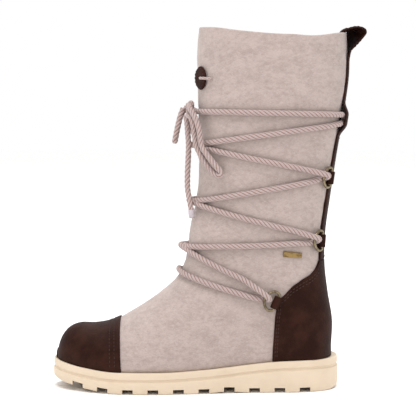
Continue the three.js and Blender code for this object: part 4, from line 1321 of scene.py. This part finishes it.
# Sole
soleSide = [  # from the ground or the seat, lift, inset
    (1, 0, 1.9), (1, 0.3, 1.0), (1, 0.9, 0.4), (1, 1.8, 0.1), (1, 4.5, 0), (1, 6.5, 0),
    (2, -9.7, 0), (2, -9.3, 0.2), (2, -9.0, 0.9), (2, -8.6, 1.4), (2, -8.2, 1.5), (2, -7.0, 1.5),
    (2, -6.6, 1.3), (2, -6.3, 0.7), (2, -5.9, 0.4), (2, -3.0, 0.4), (2, -1.0, 0.5), (2, -0.4, 0.75),
    (2, 0, 1.3),
]


def soleBody():
    count = sole["edgePoints"]
    layers = []
    for column, lift, inset in soleSide:
        edge = soleEdge(inset, count)
        edge[:, 2] = soleTable(column, edge[:, 0]) + lift
        layers.append(edge)
    points = np.concatenate(layers)
    faces = gridFaces(len(layers), count, around=True)
    top = (len(layers) - 1) * count
    a, b = 1, count - 1
    strips = [(0, a, b)]
    while b - a > 1:
        if points[a + 1, 0] < points[b - 1, 0]:
            strips.append((a, a + 1, b))
            a += 1
        else:
            strips.append((a, b - 1, b))
            b -= 1
    faces += [(i, k, j) for i, j, k in strips] + [(top + i, top + j, top + k) for i, j, k in strips]
    return points, faces


# A cutting body along the tread, between two lines and from below up to a depth
def cutBody(xs, one, other, deep):
    right, left = np.sort(np.stack(np.broadcast_arrays(one, other)), axis=0)
    low, high = sole["cutLow"], groundAt(xs) + deep
    corners = []
    for out, up in ((right, low), (left, low), (left, high), (right, high)):
        corners.append(np.stack(np.broadcast_arrays(xs, out, up), 1))
    return tube(np.stack(corners, 1))


def hollowBody():
    deep = sole["lugDepth"]
    (neck, outerShare, innerShare), tip = sole["hollowToe"]
    rows = list(sole["hollowHeel"])
    for x in np.arange(*sole["hollowSides"]):
        rows.append((x, halfWidth(x, 1, deep), halfWidth(x, -1, deep)))
    rows.append((neck, halfWidth(neck - 4, 1, deep) * outerShare, halfWidth(neck - 4, -1, deep) * innerShare))
    rows.append(tip)
    x, outer, inner = np.array(rows, float).T
    xs = np.linspace(x[0] + 0.1, x[-1] - 0.1, 160)
    outer, inner = np.interp(xs, x, outer) + 0.05, -np.interp(xs, x, inner) - 0.05
    return cutBody(xs, outer, inner, sole["treadDepth"])


def gapBodies():
    bodies = []
    for side in (1, -1):
        for k in range(sole["gaps"]):
            x = sole["firstGap"][side] + sole["lugPitch"] * k
            xs = np.linspace(x - sole["lugGap"] / 2, x + sole["lugGap"] / 2, 9)
            mouth = halfWidth(x, side, 0) - sole["lugDepth"] - sole["gapInner"]
            bodies.append(cutBody(xs, side * mouth, side * sole["gapOuter"], sole["treadDepth"]))
    return bodies


def lugFields():  # middle along, side and outer end of the studded field on each lug
    fields = []
    for side in (1, -1):
        for k in range(sole["gaps"] - 1):
            x = sole["firstGap"][side] + sole["lugPitch"] * (k + 0.5)
            wide = min(halfWidth(x + way * sole["fieldReach"], side, 0) for way in (-1, 1))
            fields.append((x, side, wide - sole["fieldInset"]))
    return fields


def studBody(x, y):
    ground, pitch = float(groundAt(x)), sole["studPitch"]
    corners = (-1, -1), (1, -1), (1, 1), (-1, 1)
    rounds = []
    for share, up in zip(sole["studHalves"], (sole["studDepth"] + 0.05, 0.04)):
        rounds.append([(x + sx * pitch * share, y + sy * pitch * share, ground + up) for sx, sy in corners])
    return tube(np.array(rounds))


def treadFields():
    pitch, deep = sole["studPitch"], sole["studDepth"]
    along, across = sole["lugStuds"]
    wide, long = sole["crescentHollow"]
    half = (sole["lugPitch"] - sole["lugGap"]) / 2 - sole["fieldEdge"]
    wells, studs = [], []
    for x, side, end in lugFields():
        xs = np.linspace(x - half, x + half, 7)
        wells.append(cutBody(xs, side * end, side * (end - across * pitch), deep))
        for i in range(along):
            for k in range(across):
                studs.append(studBody(x + (i - (along - 1) / 2) * pitch, side * (end - (k + 0.5) * pitch)))
    for start, end, hollow, middle, innerShift in sole["crescents"]:
        for side in (1, -1):
            xs = np.linspace(start + innerShift * (side < 0), end, 40)
            outer = np.array([halfWidth(x, side, sole["crescentEdge"]) for x in xs])
            hole = wide * np.sqrt(np.maximum(xs - hollow, 0) / long)
            near = side * (hole + 0.01) + middle * (hole < 0.02)
            wells.append(cutBody(xs, side * outer, near, deep))
            for i, x in enumerate(np.arange(xs[0] + pitch / 2, end - pitch / 3, pitch)):
                first, reach = np.interp(x, xs, side * near), np.interp(x, xs, outer) - pitch / 2
                for y in np.arange(first + pitch * (0.5 + 0.5 * (i % 2)), reach, pitch):
                    studs.append(studBody(x, side * y))
    return wells, studs


def outsolePiece(*materials):
    wells, studs = treadFields()
    piece = newObject("rubber_outsole", *soleBody(), materials)
    # the well floors take the second finish, the tan painted shade of the grooves
    bodies = [(hollowBody(), 0), (joinBodies(gapBodies()), 0)] + [(well, 1) for well in wells]
    cutters = []
    for number, (body, finish) in enumerate(bodies):
        cutters.append(newObject(f"cut_{number}", *body, materials, finish))
    for made in [piece] + cutters:
        finishMesh(made.data, 180)
    for cutter in cutters:
        cut = piece.modifiers.new("cut", "BOOLEAN")
        cut.operation = "DIFFERENCE"
        cut.solver = "MANIFOLD"
        cut.object = cutter
    done = bpy.data.meshes.new_from_object(piece.evaluated_get(bpy.context.evaluated_depsgraph_get()))
    piece.modifiers.clear()
    piece.data = done
    for cutter in cutters:
        bpy.data.objects.remove(cutter)
    finishMesh(done, 32)
    onBoot(piece, "sole_rubber", ["outsole"])
    # depth is 1 at each stud's foot and 0 at its tip, for the painted shade in the grooves
    depth = {"depth": np.tile([1.0] * 4 + [0.0] * 4, len(studs))}
    makePiece("tread_studs", *joinBodies(studs), materials[0], "sole_rubber", marks=depth, sharp=20)
    print("outsole made:", len(done.polygons), "faces,", len(studs), "studs")


# Gum inserts with dark rims in the hollow of the tread
inserts = {
    "edgePoints": 140,
    "rim": 1.9,
    "rimEdge": (0.3, 0.35),  # its bevel, across and up
    "tileEdge": (0.28, 0.3),
    "recess": 1.2,
    "groove": 0.8,
    "floor": 1.5,  # depth of the floor under the tiles
    "field": (0.3, 1.6),  # depth of the tiles, and their thickness
    "band": (0.9, 1.6),
    "tiles": {  # columns and pitch
        "heel_shield": (2, 5.2), "heel_block": (8, 5.2), "ball_pad": (7, 5.4), "toe": (2, 6.4),
    },
    "heelBands": (0.16, 0.28, 0.68),  # start and end of the dark band, start of the plain ones
    "stripTiles": (2.2, 2.6, 2.1, 2.0),  # room at a dark band, pitch, length of a tile, half a band
    "heel_shield": [(25, 7), (30, 10.5), (41, 3), (44, -3), (41, -7), (32, -14), (27, -11), (24, -2)],
    "heel_block": [
        (39, 14), (52, 17.5), (80, 17.5), (85, 14), (85.5, 0), (86, -12), (81, -15), (62, -18), (43, -19.5),
        (41, -16), (48, -9), (50, -3), (47, 5), (40, 10),
    ],
    "strip_outer": ([(134, 17.6), (155, 21.5), (175, 23.2), (195, 22.2), (214, 18.4)], 4.6),
    "strip_inner": ([(134.5, -9.8), (154, -15), (174, -21), (192, -23.8), (211, -23)], 4.4),
    "ball_pad": [
        (145, 4.5), (147, 9), (156, 12.2), (173, 13.8), (190, 12.8), (207, 10.5), (210.5, 6), (210, -8),
        (207, -13), (196, -14), (184, -12.6), (167, -8.6), (150, -2.4),
    ],
    "toe": [
        (218, 14), (223, 17), (231, 13.6), (238.5, 5), (241.5, -5), (238.5, -14), (230, -21.5), (220, -24.5),
        (216.5, -20), (215.5, -5),
    ],
}


def insertOutline(name, inset):
    shape, count = inserts[name], inserts["edgePoints"]
    if isinstance(shape, tuple):
        line, half = shape
        shape = [(x, y + half) for x, y in line] + [(x, y - half) for x, y in reversed(line)]
    edge = spaced(curveThrough([(x, y, 0) for x, y in shape], closed=True), count=count, closed=True)
    area = (edge[:, 0] * np.roll(edge[:, 1], -1) - np.roll(edge[:, 0], -1) * edge[:, 1]).sum()
    return edge + leftOf(edge) * np.sign(area) * inset


def clipped(outline, low, high):  # part of an outline inside a rectangle
    shape = [tuple(p[:2]) for p in outline]
    for axis, limit, sign in ((0, low[0], 1), (0, high[0], -1), (1, low[1], 1), (1, high[1], -1)):
        kept = []
        for p, q in zip(shape, shape[1:] + shape[:1]):
            a, b = (p[axis] - limit) * sign, (q[axis] - limit) * sign
            if a >= 0:
                kept.append(p)
            if a * b < 0:
                t = a / (a - b)
                kept.append((p[0] + (q[0] - p[0]) * t, p[1] + (q[1] - p[1]) * t))
        shape = kept
        if len(shape) < 3:
            return []
    return shape


def tileBody(shape, low, deep):
    flat = np.array(shape)
    away = flat - flat.mean(0)
    reach = np.linalg.norm(away, axis=1)[:, None]
    cut, rise = inserts["tileEdge"]
    near = flat.mean(0) + away * np.maximum(0, 1 - cut / np.maximum(reach, rise))  # bevelled lower edge
    layers = (flat, low + deep), (flat, low + rise), (near, low)
    rounds = [np.column_stack([edge, groundAt(edge[:, 0]) + up]) for edge, up in layers]
    return tube(np.array(rounds))


def insertTiles(name):  # rectangles of the field, with True for a dark band
    edge = insertOutline(name, inserts["rim"])[:, :2]
    low, high = edge.min(0), edge.max(0)
    if name.startswith("strip"):
        room, pitch, tile, half = inserts["stripTiles"]
        marks = np.linspace(low[0], high[0], 5)
        for k in range(4):
            start, end = marks[k] + room * (k > 0), marks[k + 1] - room * (k < 3)
            for x in np.arange(start, end - 0.5, pitch):
                yield (x, low[1]), (min(x + tile, end), high[1]), False
        for mark in marks[1:-1]:
            yield (mark - half, low[1]), (mark + half, high[1]), True
        return
    columns, pitch = inserts["tiles"][name]
    lines = np.linspace(low[1], high[1], columns + 1)
    half = inserts["groove"] / 2
    dark, light, plain = inserts["heelBands"]
    for x in np.arange(low[0], high[0], pitch):
        share = (x - low[0]) / (high[0] - low[0])
        if name == "heel_block" and (dark < share < light or share > plain):
            yield (x + half, low[1]), (x + pitch - half, high[1]), share < 0.5
            continue
        for y0, y1 in zip(lines, lines[1:]):
            yield (x + half, y0 + half), (x + pitch - half, y1 - half), False


def insertPieces(field, band, rim):
    recess, wide = inserts["recess"], inserts["rim"]
    deep = sole["treadDepth"] - gap - recess
    cut, rise = inserts["rimEdge"]
    section = [
        (0.0, deep), (0.0, rise), (cut, 0.0), (wide - cut, 0.0), (wide, rise), (wide, deep), (0.0, deep),
    ]
    for name in ("heel_shield", "heel_block", "strip_outer", "strip_inner", "ball_pad", "toe"):
        layers = []
        for inset, low in section[:-1]:
            edge = insertOutline(name, inset)
            edge[:, 2] = groundAt(edge[:, 0]) + recess + low
            layers.append(edge)
        points = np.concatenate(layers)
        grid = gridFaces(len(section), inserts["edgePoints"], around=True)
        faces = [tuple(v % len(points) for v in face) for face in grid]
        inner = insertOutline(name, wide - 0.1)[:, :2]
        floor = tileBody(inner, recess + inserts["floor"], deep - inserts["floor"])
        bodies, finishes = [(points, faces), floor], [0, 2]
        for low, high, dark in insertTiles(name):
            shape = clipped(inner, low, high)
            if len(shape) >= 3:
                depth, thick = inserts["band" if dark else "field"]
                bodies.append(tileBody(shape, recess + depth, thick))
                finishes.append(2 if dark else 1)
        indices = np.repeat(finishes, [len(body[1]) for body in bodies])
        makePiece(f"gum_{name}", *joinBodies(bodies), [rim, field, band], "gum_rubber", [f"insert_{name}"],
                  sharp=30, indices=indices)
    print("gum inserts made")


plate = {
    "corners": [(90, 9), (127, 12), (128, -3), (91, -6)],  # along and out
    "lift": (-0.1, 1.1),  # of its two faces
    "rows": (20, 0.02),
    "columns": (12, 0.05),
    "navy": ((0.022, 0.03, 0.06), (0.034, 0.045, 0.085)),
}


def solePlate(material):
    a, b, c, d = (np.array(p, float) for p in plate["corners"])
    s, t = edgeSteps(*plate["rows"])[:, None, None], edgeSteps(*plate["columns"])[:, None]
    flat = (a + (b - a) * s) * (1 - t) + (d + (c - d) * s) * t
    up = groundAt(flat[..., 0]) + sole["treadDepth"]
    spots = np.concatenate([flat, up[..., None]], -1)
    normals = np.broadcast_to(np.array([0, 0, -1.0]), spots.shape)
    platePiece("sole_plate", spots, normals, *plate["lift"], material, "gum_rubber")


# Button with its cord, and the small metal tag
button = {
    "up": 293,
    "turn": 0.36,
    "outline": [  # radius and height of each round
        (2, 2.5), (3.2, 2.75), (6, 3.0), (8.4, 2.8), (10, 2.2), (10.8, 1.5), (11, 0.9), (10.7, 0.3), (10, 0),
    ],
    "top": 2.55,
    "seam": 9.2,
    "cordScale": 0.5,
    "cord": [  # up, turn from the button's middle, lift
        (293, 0.05, 2.0), (293, 0.07, 4.0), (292.9, 0.12, 4.9), (292.7, 0.18, 4.8), (292.4, 0.25, 3.6),
        (292, 0.32, 1.2),
    ],
}


def buttonPiece(hide, cordMaterial, thread):
    place = placeAt(button["up"], button["turn"])
    spot, out = lastPoint(place, button["turn"]), lastNormal(place, button["turn"])
    spot = spot + out * gap
    side = unit(np.cross((0, 0, 1.0), out))
    rise = np.cross(out, side)
    radius, height = np.array(button["outline"]).T[..., None]
    rounds = roundsAlong(spot + height * out, side, rise, radius, turns(48))
    body = tube(rounds, spot + button["top"] * out, spot)
    makePiece("leather_button", *body, hide, "leather", ["front_button"])
    seam = roundsAlong(spot[None], side, rise, button["seam"], np.linspace(0, 2 * math.pi, 60))[0]
    stitchPiece("button_stitches", [(seam, np.tile(out, (60, 1)), button["top"])], thread)
    up, turn, lift = np.array(button["cord"]).T
    line = curveThrough(legPoint(up, turn + button["turn"], lift))
    ropePiece("button_cord", line, cordMaterial, scale=button["cordScale"])


tag = {
    "along": 46,
    "up": 129,
    "size": (17.5, 5.2),
    "slope": 6,
    "lift": (0.2, 1.3),
    "rows": (24, 0.03),
    "columns": (10, 0.1),
}


def tagPiece(metal):
    s, t = edgeSteps(*tag["rows"]) - 0.5, edgeSteps(*tag["columns"]) - 0.5
    slope = math.radians(tag["slope"])
    long, tall = np.meshgrid(s * tag["size"][0], t * tag["size"][1], indexing="ij")
    x = tag["along"] + long * math.cos(slope) - tall * math.sin(slope)
    up = tag["up"] + long * math.sin(slope) + tall * math.cos(slope)
    spots, normals = onLast(np.stack([x, 0 * x, up], -1), (0, 1.0, 0))
    platePiece("side_tag", spots, normals, *tag["lift"], metal, "ring_metal")


def insolePaint(material):
    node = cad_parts["insole"]
    node.data.materials.clear()
    node.data.materials.append(material)


studio = {
    "floor": ((0.995, 0.993, 0.99), (0.96, 0.96, 0.96)),
    "reach": 8,
    "sky": 1.0,
    "lights": [  # spot and aim in metres, size, watts
        ((-0.3, -0.9, 2.3), (0, 0, 0.1), 1.0, 24),
        ((0.5, 1.4, 2.3), (0, 0.3, 0), 1.6, 26),
    ],
}


def lightStudio():
    f = Finish("studio_floor", {"Roughness": 0.9, "Specular IOR Level": 0.1})
    soft = f.noise(3, 2, 0.5)
    f.feed("Base Color", f.blend(soft * 0.04, *studio["floor"]))
    mesh = bpy.data.meshes.new("floor")
    far = studio["reach"]
    mesh.from_pydata([(-far, -far, 0), (far, -far, 0), (far, far, 0), (-far, far, 0)], [], [(0, 1, 2, 3)])
    mesh.materials.append(f.material)
    floor = linked("floor", mesh)
    world = bpy.data.worlds.new("studio")
    world.use_nodes = True
    sky = world.node_tree.nodes["Background"].inputs
    sky["Color"].default_value = (1, 1, 1, 1)
    sky["Strength"].default_value = studio["sky"]
    bpy.context.scene.world = world
    for number, (spot, aim, size, watts) in enumerate(studio["lights"]):
        data = bpy.data.lights.new(f"softbox_{number}", "AREA")
        data.shape = "DISK"
        data.size = size
        data.energy = watts
        pointAt(linked(data.name, data), spot, aim)
    bpy.context.scene.view_settings.view_transform = "Standard"
    print("studio lit")


addCamera()
ropeMaterial = cordFinish()
tipMaterial = threadFinish("cord_tip", *threads["tip"])
bowCords(ropeMaterial, tipMaterial)
laceRoute = laceLine()
laceNodes = ["lace_bar", "lace_cross_low", "lace_cross_mid", "lace_cross_high"]
ropePiece("lace_rope", laceRoute, ropeMaterial, laceNodes)
print("lace run")
feltUpper(feltFinish("felt"), spaced(laceRoute, step=2.5))
# the insole is the upper's felt painted 15% darker: painted shade inside the boot
insolePaint(feltFinish("insole_felt_painted_shade", 0.85))
hide = leatherFinish("brown_leather")
darkThread = threadFinish("brown_thread", *threads["brown"])
toeCapPiece(hide, darkThread)
counterPiece(hide, darkThread)
strapPiece(hide, darkThread)
pullPiece(hide, darkThread)
ringMetal = brassFinish("antique_brass", brass["ring"], brass["ringDark"])
ringPieces(ringMetal, hide)
buttonPiece(hide, ropeMaterial, darkThread)
tagPiece(brassFinish("gilt_brass", brass["tag"], brass["tagDark"]))
outsolePiece(creamFinish("cream_rubber", rubber["cream"], rubber["shade"]),
             creamFinish("stud_floor_painted_shade", rubber["well"], rubber["wellShade"]))
insertPieces(gumFinish("gum", gum["amber"], gum["honey"], 0.34),
             gumFinish("gum_band", gum["rim"], gum["band"], 0.4),
             gumFinish("gum_rim", gum["rim"], gum["band"], 0.36))
solePlate(gumFinish("navy_plate", *plate["navy"], 0.45))
lightStudio()
